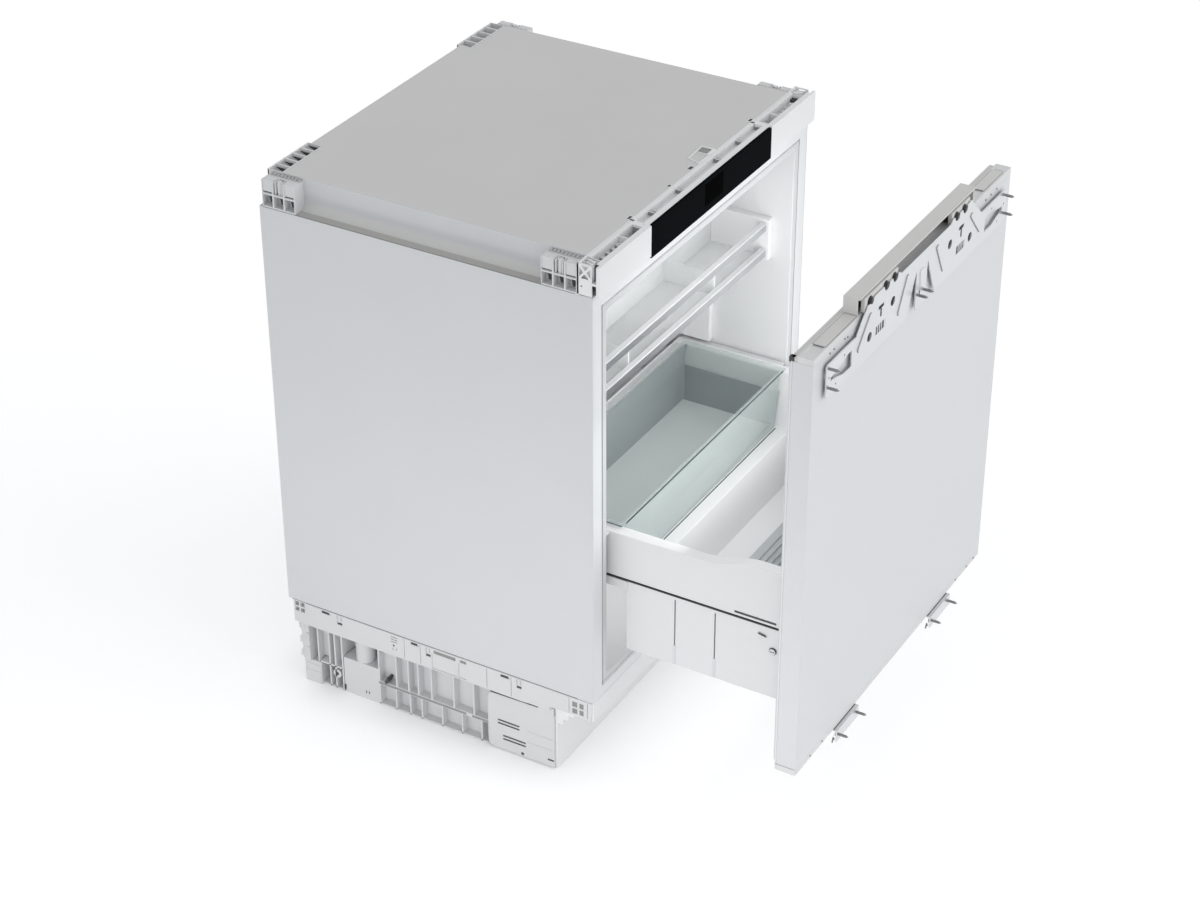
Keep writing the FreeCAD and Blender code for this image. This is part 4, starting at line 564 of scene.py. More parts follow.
# %% [markdown]
# On a few mouldings one face gets a finish of its own that paints in light falling differently on
# it: the tub's rim is painted whiter for the light it lacks, the lid's sides cooler than its top,
# its flange darker for the shade on it, and the liner's front lip greyer against the glare of the
# lamp inside. A separate shell would leave a seam, and a second finish on the same mesh doesn't.
# The faces are found by the way they face and by where they lie.

# %% Faces with a finish of their own
def refinish(piece, finish, chosen):
    """Give the faces that pass the test a finish of their own."""
    mesh = bpy.data.objects[piece].data
    mesh.materials.append(finish)
    for face in mesh.polygons:
        if chosen(face.normal, face.center):
            face.material_index = len(mesh.materials) - 1


# painted light: the tub's rim top is whiter, for light that hardly falls on it
refinish(
    "drawer_tub_rounded", painted_light_white, lambda facing, place: facing.z > 0.6 and place.z > 0.398
)
# painted light: the lid's sides are cooler than its top, for the cool light they catch
lid_side_light_paint = grained("lid_side_painted_cool_light", (0.605, 0.615, 0.635), 0.5, 0.03, 1400, 0.12)
refinish(
    "top_plate_rounded", lid_side_light_paint, lambda facing, place: abs(facing.x) > 0.9 and place.z > 0.78
)
# painted shade: the lid's flange is darker, for the shade that lies on it
lid_flange_shade_paint = grained("lid_flange_painted_shade", (0.47, 0.46, 0.445), 0.6, 0.03, 1400, 0.12)
refinish(
    "top_plate_rounded", lid_flange_shade_paint, lambda facing, place: facing.z > 0.9 and place.z < 0.79
)
# painted shade: the liner's front lip is greyer, against the glare of the lamp inside
liner_lip_shade_paint = grained("liner_lip_painted_shade", (0.62, 0.63, 0.64), 0.42, 0.02, 1100, 0.05)
refinish(
    "inner_liner_rounded", liner_lip_shade_paint, lambda facing, place: facing.y < -0.9 and place.y < -0.24
)
print("faces of the tub, the lid and the liner refinished")

# %% [markdown]
# Above the opening runs the fascia bar: a front skin, a deck behind it, a shallow channel behind
# the glass and a deeper one at each end, where clips of the worktop fit. Its ends are open
# mouldings with a crossed brace. One end is built of walls and webs, and mirrored to the other.

# %% Ends of the fascia bar
BAR_END, BAR_FRONT, BAR_BACK = -298.5, -263, -231
BAR_FOOT, BAR_DECK, BAR_HEAD = 776, 790, 820
GLASS_END = -166.2
fascia = bmesh.new()
block(fascia, (BAR_END, GLASS_END), (BAR_FRONT, -258.5), (BAR_FOOT, BAR_HEAD))
block(fascia, (-289, GLASS_END), (-259, -254), (BAR_FOOT, BAR_HEAD))
block(fascia, (-289, -163), (-254.5, -238.5), (BAR_DECK, 800))
block(fascia, (-174, -163), (-259, -233), (BAR_DECK, 819.4))
block(fascia, (BAR_END, -163), (-234, BAR_BACK), (BAR_FOOT, BAR_HEAD))
block(fascia, (-276.5, -163), (-239, -233), (BAR_DECK, BAR_HEAD))
block(fascia, (-208, -206), (-254, -239), (799, 818))
block(fascia, (-289, -207), (-254.5, -238.5), (799, 809))
crossed = [
    [(-250.5, 802.5), (-250.5, 815.5), (-244.6, 809)],
    [(-248.3, 818), (-236.5, 818), (-242.4, 811)],
    [(-234.4, 815.5), (-234.4, 802.5), (-240.3, 809)],
    [(-236.5, 800), (-248.3, 800), (-242.4, 807)],
]
end_outline = oblong(-252.5, BAR_BACK, 777, BAR_HEAD)
plate(fascia, "x", [end_outline] + crossed + [ring(-237.5, 789, 1.3, 10)], BAR_END, -296.3)
block(fascia, (-298, -289), (-258.8, -252.3), (793, 796.5))
for across in (-293, -288, -281.5, -276.5):
    block(fascia, (across, across + 1.6), (-252, -233), (796, 818))
slanted(fascia, "z", (-292, -251), (-288, -240), 1.0, 806, 819.6)
slanted(fascia, "z", (-286, -250), (-281, -237), 1.2, 806, 819.6)
webs = ((-262, 3), (-256, -2), (-248, 3), (-236, 3), (-230, -3), (-224, 3), (-215, -2))
for across, lean in webs:
    slanted(fascia, "z", (across, -253), (across + lean, -242), 0.8, 808, 813)
mirror_over(fascia)
print("both ends of the fascia bar, with", len(webs), "webs each")

# %% [markdown]
# Between its ends the bar is a channel behind the glass. Its raised floor is broken by gaps, and
# each run of it ends in a low wall. Plain blocks join the two ends in one piece.

# %% Middle of the fascia bar
MIDDLE = (-167, 167)
block(fascia, MIDDLE, (-259, -250), (BAR_FOOT, BAR_HEAD))
block(fascia, MIDDLE, (-237.5, BAR_BACK), (BAR_DECK, BAR_HEAD))
block(fascia, MIDDLE, (-251, -237), (BAR_DECK, 802))
floor_runs = ((-163, -128), (-116, -56), (-44, 48), (60, 110), (122, 163))
for low, high in floor_runs:
    block(fascia, (low, high), (-250.5, -237), (801, 812))
    block(fascia, (high - 1.5, high), (-250.5, -237), (801, 817.5))
piece_from("fascia_moulding", fascia, "white_plastic", "cabinet", 0.5, ("fascia_bar",))
print("fascia bar with", len(floor_runs), "runs of floor")

# %% [markdown]
# Deep slits between the webs look nearly black, because light hardly gets in. The bar is only two
# fingers deep, so dark strips at the bottom of the slits stand for more depth.

# %% Slits in the fascia bar
slits, shades = bmesh.new(), bmesh.new()
for across, lean in ((-262, 3), (-248, 3), (-236, 3), (-230, -3), (-224, 3)):
    slanted(shades, "z", (across - 1.6, -253), (across - 1.6 + lean, -242), 0.9, 808.8, 812.8)
for across in (-281.5, -276.5, -271.5):
    slanted(slits, "z", (across, -251), (across + 2.5, -239), 1.1, 808.8, 814)
block(slits, (-290.4, -288.6), (-258.4, -252.6), (777, 819))
block(shades, (-174.6, -173.8), (-253, -240), (801, 816))
mirror_over(slits)
mirror_over(shades)
for low in [run[0] for run in floor_runs[1:]]:
    block(shades, (low - 0.6, low + 0.2), (-250, -238), (803, 811))
for high in [run[1] for run in floor_runs]:
    block(shades, (high - 2.1, high - 1.3), (-250, -238), (812, 816.8))
piece_from("fascia_shades", shades, "white_plastic", "cabinet", 0.1, finish=shaded)
piece_from("fascia_slits", slits, "black_plastic", "cabinet", 0.1, finish=deep)
print("slits set in the fascia bar")

# %% [markdown]
# The black glass in the fascia hides the display. Where the display lies behind it, the glass has
# a window without tint, which shows as a slightly deeper black.

# %% Display window
display = bmesh.new()
plate(display, "y", [oblong(-23, 27, 783, 815)], -263.25, -262.8, 1.5)
clear_black = grained("display_glass", (0.0012, 0.0012, 0.0014), 0.05, 0.2, 300, 0.0, IOR=1.02)
piece_from("display_window", display, "black_glass", "cabinet", 0.1, finish=clear_black)
print("display window set in the glass")

# %% [markdown]
# Along the front of the lid sit small clips that hook into the fascia. Each is an opening with a
# thin raised rim, and a dark plate in it paints its shade. One wider tongue with a window reaches
# back over the lid, and a grey plate in the window paints its shade.

# %% Clips between lid and fascia
RIM_WALL = 1.2
clip_rims, clip_holes, clip_pocket = bmesh.new(), bmesh.new(), bmesh.new()
for low, high, depth in ((-166, -157, 5), (-61, -55, 4.5), (-4, 6, 6), (165, 174, 5)):
    rim = oblong(low - RIM_WALL, high + RIM_WALL, BAR_BACK, -229.8 + depth)
    hole = oblong(low, high, -230.5, BAR_BACK + depth)
    plate(clip_rims, "z", [rim, hole], 819.5, 820.7)
    block(clip_holes, (low - 0.5, high + 0.5), (BAR_BACK, -230.5 + depth), (819.6, 820.2))
tongue = [(18, BAR_BACK), (24, -211), (66, -209), (66, BAR_BACK)]
inner_edge = [(19.8, -230.2), (25.2, -212.4), (46.2, -211.4), (46.2, -230.2)]
window = [(47.5, -227), (47.5, -212), (63.5, -211), (63.5, -227)]
plate(clip_rims, "z", [tongue, inner_edge, window], 819.5, 821.4)
block(clip_pocket, (47, 64), (-227.5, -210.5), (819.6, 820.2))
piece_from("lid_clip_rims", clip_rims, "white_plastic", "cabinet", 0.3)
# the dark plates in the openings and the grey one in the window are painted shade
piece_from("lid_clip_opening_shades", clip_holes, "black_plastic", "cabinet", 0.1)
piece_from("lid_tongue_window_shade", clip_pocket, "lid_grey", "cabinet", 0.1, finish=shaded)
print("five clips on the lid's front edge")

# %% [markdown]
# The four corner blocks carry the load of the worktop. On the outside each has two rows of cells:
# the lower ones are open, with dark plates that paint their shade, the upper ones are closed by a
# field, and ribs stand beside the peg in the middle. Dark grey clip teeth lie behind the block's
# top, and sloping pockets run along the lid's rear edge, with grey floors and dark side plates that
# paint their shade. The left side is dressed and mirrored.

# %% Corner blocks and rear strips
BLOCK_LENGTH, COLUMNS, HALF_WEB = 52, 3, 1.25
TEETH, TOOTH_PITCH = 9, 5.5
CELLS, CELL_PITCH = 5, 18.2
fields, depths, pockets = bmesh.new(), bmesh.new(), bmesh.new()
for front_end in (-231, 195):
    third = BLOCK_LENGTH / COLUMNS
    for column in range(COLUMNS):
        low = front_end + third * column + HALF_WEB
        high = front_end + third * (column + 1) - HALF_WEB
        if column == 1:
            for rib in (low + 1.6, high - 3.2):
                block(fields, (-297.2, -286), (rib, rib + 1.6), (797.5, 816))
        else:
            block(fields, (-296.8, -286), (low - 0.2, high + 0.2), (798.9, 816.4))
        # dark sloped plates and lip strips: painted shade in the lower cells
        slope = [(low + 2, 779.5), (low + 3.5, 793), (high - 1.5, 793), (high - 4, 779.5)]
        plate(depths, "x", [slope], -287.6, -286.2, 1.0)
        block(depths, (-295.5, -286.5), (low + 0.5, high - 0.5), (797.1, 798.0))
    for tooth in range(TEETH):
        start = front_end + TOOTH_PITCH * tooth
        block(pockets, (-282, -277), (start + 2.5, start + 5.1), (814, 818.2))
# grey ramps and dark plates on the pockets' walls: painted shade
for cell in range(CELLS):
    low = -275.5 + CELL_PITCH * cell + 1.5
    ramp = [(229.5, 807.5), (251, 807.5), (251, 815), (249, 815)]
    plate(pockets, "x", [ramp], low, low + 15.2)
    block(depths, (low + 14.4, low + 15.3), (230, 249), (808, 816))
block(fields, (-275.5, -184.5), (250.4, 253), (800, 819.6))
mirror_over(fields)
mirror_over(depths)
mirror_over(pockets)
piece_from("corner_fields", fields, "base_plastic", "cabinet", 0.4)
piece_from("corner_cell_shades", depths, "base_plastic", "cabinet", 0.2, finish=deep)
piece_from("teeth_and_rear_pocket_shades", pockets, "base_plastic", "cabinet", 0.2, finish=teeth_grey_and_pocket_shade)
print("corner blocks and rear strips dressed")

# %% [markdown]
# Where the painted side sheet meets the lid and the base there is a narrow joint. It shows as a
# thin dark line, so a narrow dark strip lies in it.

# %% Joints of the side sheet
joints = bmesh.new()
for low, high in ((775.5, 776.3), (147.6, 148.3)):
    block(joints, (-298.9, -297.4), (-228, 247), (low, high))
mirror_over(joints)
piece_from("sheet_joints", joints, "seal_rubber", "cabinet", 0.15, finish=shaded)
print("joints above and below the side sheets")

# %% [markdown]
# Round the opening a fine groove runs in the front frame, where its coated sheet ends. At each
# corner it starts from a small drilled hole. Thin strips and dots stand for them.

# %% Groove of the front frame
GROOVE_HALF, HALF_WIDTH = 273.5, 0.35
GROOVE_LEVELS, GROOVE_DEPTH = (165, 754), (-253.2, -252.6)
groove = bmesh.new()
for edge in (-GROOVE_HALF, GROOVE_HALF):
    block(groove, (edge - HALF_WIDTH, edge + HALF_WIDTH), GROOVE_DEPTH, GROOVE_LEVELS)
    for level in GROOVE_LEVELS:
        peg(groove, "y", (edge, -253, level), 1.3, 0.5, sides=12)
for level in GROOVE_LEVELS:
    limits = (level - HALF_WIDTH, level + HALF_WIDTH)
    block(groove, (-GROOVE_HALF, GROOVE_HALF), GROOVE_DEPTH, limits)
piece_from("frame_groove", groove, "seal_rubber", "cabinet", 0.1, finish=shaded)
print("groove round the opening")

# %% [markdown]
# The storage bin hangs in the rear of the tub. It is thin clear plastic: nearly upright walls, a
# wider band under the rim, and a narrow rim. It starts as a box without a lid. Planes cut its
# walls at the band, the part above is widened, and the upright and lower edges are bevelled.

# %% Walls of the storage bin
WALL_HALF, BAND_HALF = 226, 231
BIN_FOOT, BIN_HEAD, BAND_LEVELS = 311.5, 404, (371, 376)


def soften(shape, edges, radius, segments):
    """Bevel some edges of a shape for good; the radius is in millimetres."""
    bmesh.ops.bevel(
        shape, geom=edges, offset=radius * MM, segments=segments, profile=0.5, affect="EDGES",
        material=-1, clamp_overlap=True,
    )


bin_shape = bmesh.new()
block(bin_shape, (-WALL_HALF, WALL_HALF), (-259, -101), (BIN_FOOT, BIN_HEAD))
lid = [face for face in bin_shape.faces if face.normal.z > 0.9]
bmesh.ops.delete(bin_shape, geom=lid, context="FACES")
for height in BAND_LEVELS:
    everything = bin_shape.verts[:] + bin_shape.edges[:] + bin_shape.faces[:]
    cut = (0, 0, height * MM)
    bmesh.ops.bisect_plane(bin_shape, geom=everything, plane_co=cut, plane_no=(0, 0, 1))
for vert in bin_shape.verts:
    if vert.co.z > 0.375:
        vert.co.x *= BAND_HALF / WALL_HALF
    elif vert.co.z < 0.33 and vert.co.y < -0.18:
        vert.co.y += 3 * MM
uprights = [
    edge for edge in bin_shape.edges
    if abs(edge.verts[0].co.z - edge.verts[1].co.z) > 0.002 and len(edge.link_faces) == 2
]
soften(bin_shape, uprights, 4, 3)
foot_edges = []
for edge in bin_shape.edges:
    at_foot = max(vert.co.z for vert in edge.verts) < 0.3125
    if at_foot and any(abs(face.normal.z) < 0.9 for face in edge.link_faces):
        foot_edges.append(edge)
soften(bin_shape, foot_edges, 2.5, 2)
print("bin walls of", len(bin_shape.faces), "faces")

# %% [markdown]
# The open edge is extruded outwards for the rim, and the wall gets its thickness last. Walls that
# stand close to the tub get a darker tint that paints the shade of the tub behind them, and the
# floor a paler one that paints the light on the tub below it. The edges of clear plastic look dark
# green, so thin lines lie along the longest of them.

# %% Rim and finish of the storage bin
PAINTED_WALL_SHADE, PAINTED_FLOOR_LIGHT = 1, 2
BIN_WALL = 1.6
rim_edges = [edge for edge in bin_shape.edges if len(edge.link_faces) == 1]
middle = Matrix.Translation(Vector((0, 0.18, 0)))
for widen, lengthen, rise in ((238 / 231, 83.5 / 79, 0.4), (1.004, 1.01, 1.6)):
    grown = bmesh.ops.extrude_edge_only(bin_shape, edges=rim_edges)["geom"]
    outer = [item for item in grown if isinstance(item, bmesh.types.BMVert)]
    rim_edges = [
        item for item in grown
        if isinstance(item, bmesh.types.BMEdge) and len(item.link_faces) == 1
    ]
    bmesh.ops.scale(bin_shape, vec=(widen, lengthen, 1), verts=outer, space=middle)
    bmesh.ops.translate(bin_shape, vec=(0, 0, rise * MM), verts=outer)
bmesh.ops.recalc_face_normals(bin_shape, faces=bin_shape.faces)
# darker walls are painted shade, the paler floor is painted light
for face in bin_shape.faces:
    place = face.calc_center_median()
    below_band = place.z < 0.371 and place.y > -0.255
    rear_wall = place.z < 0.403 and place.y > -0.104
    if abs(face.normal.z) > 0.9 and place.z < 0.32:
        face.material_index = PAINTED_FLOOR_LIGHT
    elif below_band or rear_wall:
        face.material_index = PAINTED_WALL_SHADE
bmesh.ops.solidify(bin_shape, geom=bin_shape.faces[:], thickness=BIN_WALL * MM)
bin_piece = piece_from(
    "clear_storage_bin", bin_shape, "clear_plastic", "pull_out", 0.0, ("storage_bin",)
)
bin_piece.data.materials.append(clear("bin_wall_painted_shade", (0.37, 0.42, 0.425), 0.55))
bin_piece.data.materials.append(clear("bin_floor_painted_light", (0.74, 0.80, 0.785), 0.62))
bin_piece.data.set_sharp_from_angle(angle=math.radians(35))
bin_lines = bmesh.new()
for low, high, depth, level in ((-229, 229, -263.6, 406.2), (-222, 222, -257.6, 311.0)):
    block(bin_lines, (low, high), (depth - 0.7, depth + 0.7), (level - 0.6, level + 0.6))
block(bin_lines, (-239.6, -238.4), (-262, -104), (405.6, 406.6))
dark_edge = clear("bin_edge_plastic", (0.02, 0.045, 0.04), 0.95)
piece_from("bin_edge_lines", bin_lines, "clear_plastic", "pull_out", 0.2, finish=dark_edge)
print("bin of", len(bin_piece.data.polygons), "faces")

# %% [markdown]
# The two bars of the upper shelf are grey satin trim in front and white on top. The white is a
# thin strip along each bar.

# %% Tops of the shelf bars
bar_tops = bmesh.new()
for level in (624, 583):
    block(bar_tops, (-250.5, 250.5), (-218.3, -209.7), (level - 0.3, level + 0.9))
piece_from("shelf_bar_tops", bar_tops, "white_plastic", "cabinet", 0.3)
print("two bar tops")

# %% [markdown]
# The tub's side shows how it runs: a narrow dark gap along its length, where the rail lies
# behind, a shorter slot above it near the front, a clip and a screw. A cover below, a dark lining
# that paints the gap's shade and a white strip narrow the gap to a line, and the slot above is a
# dark strip of painted shade too. A flat flange closes the rim beside the bin and behind it. Two
# slits down the lower side widen towards their foot, where grey plates behind them paint their
# shade.

# %% Side of the tub
tub_white, tub_dark, tub_feet = bmesh.new(), bmesh.new(), bmesh.new()
plate(tub_white, "x", [oblong(-277, -86, 316, 329)], -250, -246.5, 2.0)
# dark strips in the rail gap and the slot above it: painted shade
block(tub_dark, (-249.6, -246), (-510, -84), (329.6, 331.2))
block(tub_white, (-250, -246.5), (-514, -84), (333.8, 335.9))
block(tub_dark, (-250.35, -249), (-499, -438), (337.4, 340.6))
clip = [(-485.5, 313), (-484, 315.2), (-473, 317.2), (-473.4, 315.4)]
plate(tub_dark, "x", [clip], -250.35, -249.2)
for around, shape, near in ((5.2, tub_dark, -250.2), (4.4, tub_white, -250.9)):
    peg(shape, "x", (near + 1, -495, 293.8), around, 2)
block(tub_dark, (-251.2, -250.4), (-498, -492), (293.2, 294.4))
# grey plates behind the slits' feet: painted shade
for slit in (-348.6, -408.6):
    block(tub_feet, (-248.6, -246), (slit - 2.2, slit + 2.2), (219.5, 250))
block(tub_white, (-259, -249), (-250, -84), (398.6, 401.4))
block(tub_white, (-240, 0), (-97, -82), (398.6, 401.4))
mirror_over(tub_white)
mirror_over(tub_dark)
mirror_over(tub_feet)
piece_from("tub_slit_foot_shades", tub_feet, "seal_rubber", "pull_out", 0.2)
piece_from("tub_side_covers", tub_white, "white_plastic", "pull_out", 0.4, finish=tub_painted_shade_coat)
piece_from("tub_side_marks_and_slot_shades", tub_dark, "black_plastic", "pull_out", 0.1, finish=deep)
print("tub sides dressed")

# %% [markdown]
# The base is a ribbed moulding. The skin of its upper beam has openings for clips, narrow joints,
# louvres and round holes. All are loops of corner points, so that the skin can be filled round
# them in one plate.

# %% Openings in the skin of the base
SEAM_WIDTH, LOUVRE_HEIGHT = 0.8, 1.6
clip_slots = ((180, 195, 141.5, 146), (30, 43, 141.5, 146), (-120, -105, 140.5, 145))
other_slots = (
    (-31.4, 5, 139.4, 144.8), (160, 169, 131, 146), (10, 18, 131, 146), (-139, -131, 131, 146),
    (-49, -38.5, 139.8, 144.4), (-48.5, 8.5, 112.4, 138), (-228, -220, 133.4, 142),
    (-238, -231.5, 133.4, 142), (-228, -220, 122.4, 130.6), (-238, -231.5, 122.4, 130.6),
)
skin_holes = [oblong(*limits) for limits in clip_slots + other_slots]
for seam in (54, 27, -83, -122.5, -215.4, -244.4):
    foot = 120.5 if seam < -160 else 113
    skin_holes.append(oblong(seam, seam + SEAM_WIDTH, foot, 146.5))
for level in (134, 138, 142):
    skin_holes.append(oblong(66, 77, level, level + LOUVRE_HEIGHT))
skin_holes += [ring(72.5, 128.5, 1.8, 12), ring(68, 123, 1.2, 10), ring(74, 122, 1.2, 10)]
print(len(skin_holes), "openings in the skin")

# %% [markdown]
# The skin is one thin plate, cut to the steps of its lower edge. Strips of painted shade, grey and
# dark, lie behind some of its openings, and tongues stand in the clip openings. The cells between
# the ribs below get back walls.

# %% Skin and cells of the base
SKIN_FACE, SKIN_BACK = -300, -298.3
beam, beam_depths, beam_shades = bmesh.new(), bmesh.new(), bmesh.new()
skin = [
    (222, 110.6), (222, 147.6), (-251.5, 147.6), (-250.5, 117.2), (-190, 119.2), (-164, 119),
    (-157, 112), (-142, 110.6),
]
plate(beam, "x", [skin] + skin_holes, SKIN_FACE, SKIN_BACK)
for low, high, foot, head in (
    (-31, 4.6, 139.8, 144.4), (-48.6, -39, 140.2, 144), (-238.5, -219.5, 122, 142.4),
):
    block(beam_shades, (-299.0, -298.2), (low, high), (foot, head))
for low, high in ((-36, 112.6), (-73.5, -46)):
    block(beam_shades, (-284.5, -283), (low, high), (37.2, 40.6))
block(beam, (SKIN_FACE, SKIN_BACK), (-35.5, -33.5), (112, 138.2))
for low, high in ((-74, 113), (176, 228)):
    block(beam, (-271, -252), (low, high), (41.5, 110))
block(beam, (-271, -252), (-74, 113), (2.5, 36.5))
# dark plates behind the clip openings: painted shade
for low, high, foot, head in clip_slots:
    block(beam_depths, (-299.4, SKIN_BACK), (low + 3, high - 0.3), (foot + 0.3, head - 0.3))
for low in (160, 10, -139):
    block(beam, (SKIN_FACE, SKIN_BACK), (low + 2.6, low + 6.4), (137, 146.4))
    block(beam_depths, (-299.2, SKIN_BACK), (low + 0.3, low + 8), (131.2, 133.6))
block(beam_depths, (-299.0, SKIN_BACK), (70, 75), (126, 131))
print("skin of the base on its beam")

# %% [markdown]
# The service cover closes the front end, and dark strips in its vents paint their shade. The rear
# end has a stepped foot and a wavy edge with slanted ribs. Plates and slanted bars follow these
# outlines better than blocks do. The left side is then mirrored.

# %% Cover and foot of the base
cover = [
    (-182.5, 3), (-182.5, 105), (-162, 105), (-157, 98), (-80, 96.4), (-76, 92), (-76, 6), (-79, 3),
]
plate(beam, "x", [cover], -287.2, -286.3)
slanted(beam_depths, "x", (-79, 97.2), (-142, 98.5), 0.6, -287, -284)
slanted(beam_depths, "x", (-142, 98.8), (-157, 100.4), 1.1, -287.4, -284)
block(beam, (-284, -252), (-74, 113), (0.6, 3.0))
block(beam, (-284, -252), (176, 240), (0.6, 3.0))
block(beam, (-284, -252), (176, 214), (38, 40.5))
for steps, (low, high, head) in enumerate(((212, 241, 38), (213, 240, 31), (214, 239.5, 20))):
    block(beam, (-286 - 0.8 * steps, -254), (low, high), (0.4, head))
wavy = [
    (236, 37), (241, 43), (244, 52), (239.5, 60), (241, 66), (245, 76), (240, 84), (241.5, 90),
    (245, 98), (243, 111), (228, 111), (228, 37),
]
plate(beam, "x", [wavy], -290, -262, 1.5)
for low, high in ((66, 42), (90, 66), (112, 90)):
    slanted(beam, "x", (229, low - 2), (243, high + 4), 1.4, -292, -289)
peg(beam, "x", (-281, 186, 27), 7, 6, 6.4)
peg(beam_depths, "x", (-284, 186, 27), 2.6, 1.4)
# dark strips in the vents, lines and holes: painted shade
for low in (130, 135):
    block(beam_depths, (-284.6, -283.8), (low, low + 1.2), (11, 15))
slanted(beam_depths, "x", (101, 41), (97, 50), 2.2, -284.4, -256)
block(beam_depths, (-284.6, -276), (171, 174.4), (4, 13))
for low, high, foot in ((-126, -91, 46.0), (-126, -91, 51.6), (-136, -99, 20.4), (-136, -99, 26.0)):
    block(beam_depths, (-287.7, -286), (low, high), (foot, foot + 2.2))
peg(beam_depths, "x", (-287, -130.6, 7), 2.4, 1.2)
block(beam_depths, (-287.7, -286), (-182, -172), (12.5, 15))
for level, low in ((49, -181), (30, -180)):
    block(beam, (-287.8, -286.6), (low, -139), (level, level + 1.0))
mirror_over(beam)
mirror_over(beam_depths)
mirror_over(beam_shades)
piece_from("base_shades", beam_shades, "base_plastic", "cabinet", 0.1, finish=shaded)
piece_from("base_skins", beam, "base_plastic", "cabinet", 0.25)
piece_from("base_opening_shades", beam_depths, "base_plastic", "cabinet", 0.1, finish=deep)
print("base sides dressed")

# %% [markdown]
# On top of the front the cap carries grey inserts in narrow dark joints, and a strip runs along
# its rear edge. Small dots mark where the sheet is pinned to the cap. At the lower edge two
# brackets for the kitchen front hang in a slot, whose shade is painted as a dark strip, with small
# splayed feet.

# %% Cap and edges of the front
inserts, insert_joints, pins, lower_feet = (bmesh.new() for made in range(4))
pin_places = [(-254, 763.5), (-243, 764), (-213, 763.5), (-205, 762)]
pin_places += [(215, 763), (232, 763.5), (251, 764)]
pin_places += [(across, 150) for across in (-254.5, -218.6, 215.5, 255, 280)]
for low, high, front_edge in ((-263, -177.5, -556.4), (214, 276, -555.4)):
    block(insert_joints, (low - 1, high + 1), (front_edge, -538.2), (775.3, 776.3))
    block(inserts, (low, high), (front_edge + 0.9, -539.2), (775.5, 776.9))
for across, up in pin_places:
    peg(pins, "y", (across, -558.2, up), 1.3, 0.8, sides=12)
for side in (-1, 1):
    block(insert_joints, (side * 298.3 - 0.4, side * 298.3 + 0.4), (-556.5, -528.5), (155.4, 156.1))
block(pins, (-297.6, -291), (-532, -524.8), (765, 772.3))
block(inserts, (-297.4, 297.4), (-536.6, -527.1), (763.6, 772.3))
# a dark strip above each bracket paints the shade of its slot
for middle in (-151, 151):
    block(pins, (middle - 33, middle + 33), (-559.2, -557.5), (143.2, 146.4))
    for across in (middle - 28, middle + 28):
        for splay in ((across - 8, 126.4), (across - 2, 127.4)):
            slanted(lower_feet, "y", (across - 5, 133), splay, 0.9, -559.4, -557.6)
piece_from("cap_inserts", inserts, "warm_grey_plastic", "pull_out", 0.3)
piece_from("cap_joints", insert_joints, "black_plastic", "pull_out", 0.1, finish=shaded)
piece_from("sheet_pins_and_slot_shades", pins, "black_plastic", "pull_out", 0.15, finish=deep)
piece_from("lower_bracket_feet", lower_feet, "screw_steel", "pull_out", 0.2)
print("front's cap and edges dressed, with", len(pin_places), "pins")

# %% [markdown]
# A lip along the housing's front edge nearly meets the bracket. In the bracket's cups sit black
# rubber knobs with a crowned head, by which the front is set. Two blocks close the housing behind
# them, so that they stand out as dark ovals.

# %% Housing lip and knobs
lip, knobs = bmesh.new(), bmesh.new()
block(lip, (-176, 176), (-559, -555.5), (798, 800))
for low, high in ((-166, -70), (94, 152)):
    block(lip, (low, high), (-561.2, -555.5), (777, 796.6))
knob_places = (-152, -107, -82, 107, 132)
for across in knob_places:
    for radius, near, far in ((6.6, -562, -550), (5.8, -563.8, -562), (4.0, -565, -563.8)):
        peg(knobs, "y", (across, (near + far) / 2, 788), radius, far - near)
piece_from("housing_lip", lip, "warm_grey_plastic", "pull_out", 0.5)
piece_from("setting_knobs", knobs, "black_plastic", "pull_out", 0.7)
print(len(knob_places), "knobs")

# %% [markdown]
# The furniture bracket is one stamped plate of plated steel, with two rows of cut-outs, two
# tapered slots for hanging the kitchen front, round cups for the knobs, and a tab between two
# notches. Its outline and holes are filled as one face and extruded.

# %% Plate of the furniture bracket
PLATE_BACK, PLATE_FRONT = -562, -564
CUP_RADIUS, CUP_LEVEL = 7.8, 790


def mirrored_loop(loop):
    """The same corner points on the other side of the middle."""
    return [(-across, up) for across, up in reversed(loop)]


bracket, rib_hollow_shades = bmesh.new(), bmesh.new()
right_edge = [(44, 709), (269, 709), (273, 713), (273, 753), (269, 757), (190, 757), (152, 792)]
middle_edge = [(94, CUP_LEVEL), (88, 786), (-64, 786), (-70, CUP_LEVEL)]
left_edge = [(-140, CUP_LEVEL), (-146, 786), (-160, 786)] + mirrored_loop(right_edge[:-1])


def cup(across):
    """A round notch in the plate's upper edge, from right to left."""
    turns = [math.radians(angle) for angle in range(0, -181, -30)]
    return [
        (across + CUP_RADIUS * math.cos(turn), CUP_LEVEL + CUP_RADIUS * math.sin(turn))
        for turn in turns
    ]


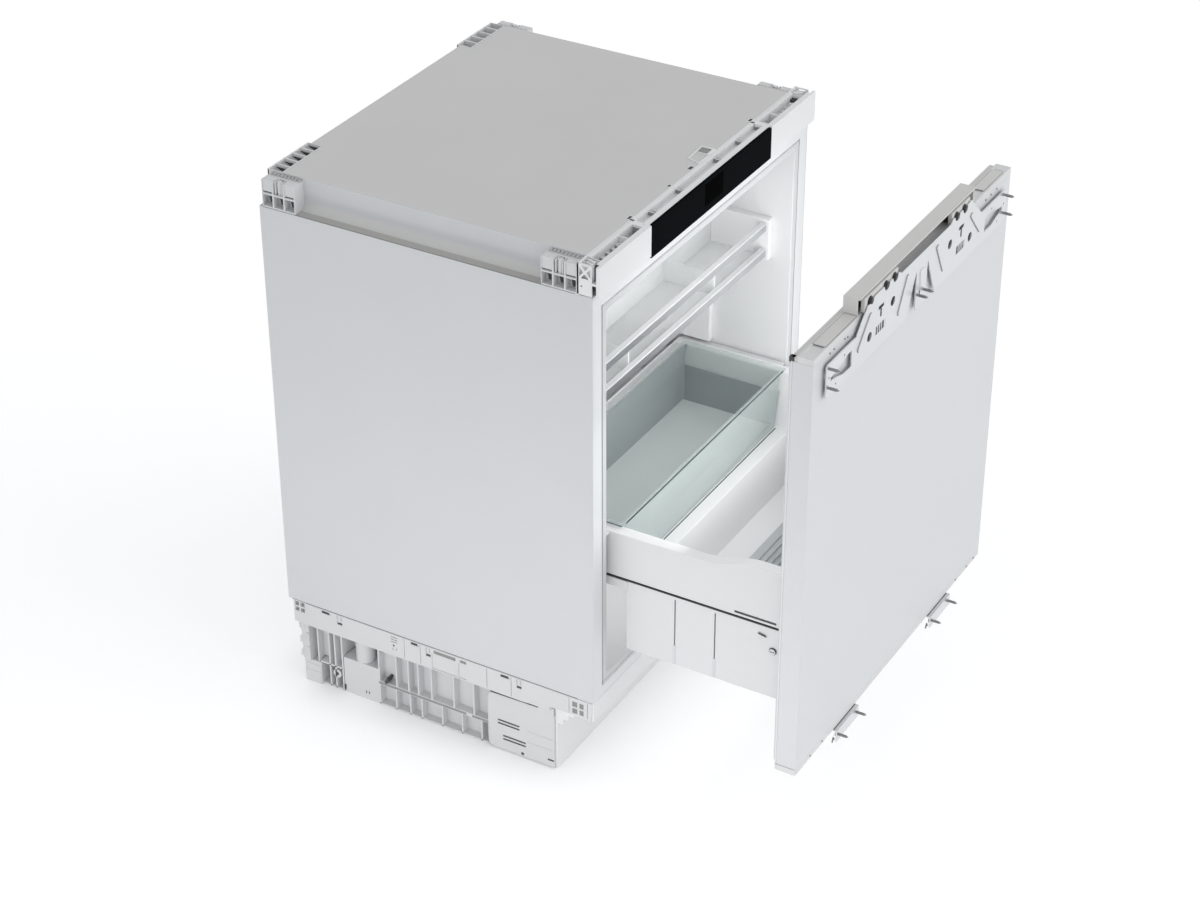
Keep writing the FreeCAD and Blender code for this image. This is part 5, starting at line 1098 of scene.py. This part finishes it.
cups = cup(132) + cup(107) + middle_edge + cup(-82) + cup(-107)
tab = [(-17, 767), (-15, 709), (15, 709), (17, 767)]
tee = [
    (114, 764), (114, 769), (130, 769), (130, 764), (124.5, 764), (124.5, 752), (119.5, 752),
    (119.5, 764),
]
window = oblong(107, 137, 731, 743)
slot = [
    (203, 722), (203, 744), (214, 744), (246, 737), (261, 735), (261, 730), (246, 728), (226, 722),
]
wide_holes, small_holes = ((153, 738), (87, 757)), ((224, 748), (246, 719), (266, 737))
cut_outs = []
for side in (1, -1):
    cut_outs += [ring(side * across, up, 6.5) for across, up in wide_holes]
    cut_outs += [ring(side * across, up, 1.6, 10) for across, up in small_holes]
    for loop in (tee, window, slot):
        cut_outs.append(loop if side > 0 else mirrored_loop(loop))
plate(bracket, "y", [right_edge + cups + left_edge + tab] + cut_outs, PLATE_FRONT, PLATE_BACK)
print("bracket with", len(cut_outs), "cut-outs")

# %% [markdown]
# Bars divide the plate's windows, and pressed ribs keep it from bending. The press leaves a
# hollow round each rib, which shows as a thin dark line. So each rib is a low rounded bar on a
# slightly larger one in a darker finish, which paints the shade in the hollow.

# %% Ribs of the furniture bracket
RIB_HALF, HOLLOW_HALF = 3.2, 4.3
window_bars = (
    (106, 110, 727), (116, 118, 731), (122, 124, 731), (128, 130, 731), (134, 138, 727),
)
for side in (1, -1):
    for low, high, foot in window_bars:
        across = (low, high) if side > 0 else (-high, -low)
        block(bracket, across, (-563.6, -561.4), (foot, 743.4))
    for foot, head in (((69, 728), (44, 774)), ((186, 733), (152, 771))):
        start, end = Vector((side * foot[0], foot[1])), Vector((side * head[0], head[1]))
        for made, half_width, far in (
            (bracket, RIB_HALF, -565.8), (rib_hollow_shades, HOLLOW_HALF, -564.25),
        ):
            more = (end - start).normalized() * (half_width - RIB_HALF)
            limits, corner = (far, -563.5), half_width - 0.2
            slanted(made, "y", start - more, end + more, half_width, *limits, corner)
tab_rib = [(-5, 722), (5, 722), (5, 745), (7, 762), (-7, 762), (-5, 745)]
plate(bracket, "y", [tab_rib], -565.2, -563.5, 3.0)
piece_from("rib_hollow_shades", rib_hollow_shades, "bracket_steel", "pull_out", 0.1, finish=shaded)
piece_from("stamped_bracket", bracket, "bracket_steel", "pull_out", 0.45, ("mounting_bracket",))
print("bracket with", len(window_bars), "bars in each window")

# %% [markdown]
# The rest of the solids lie inside or already have their shape, so they stay as they are and only
# take the finish of their slot.

# %% Finishes of the other solids
for node, solid in frame["nodes"].items():
    solid.data.materials.clear()
    solid.data.materials.append(finishes[slots[node]])
print("finishes given to", len(frame["nodes"]), "solids")
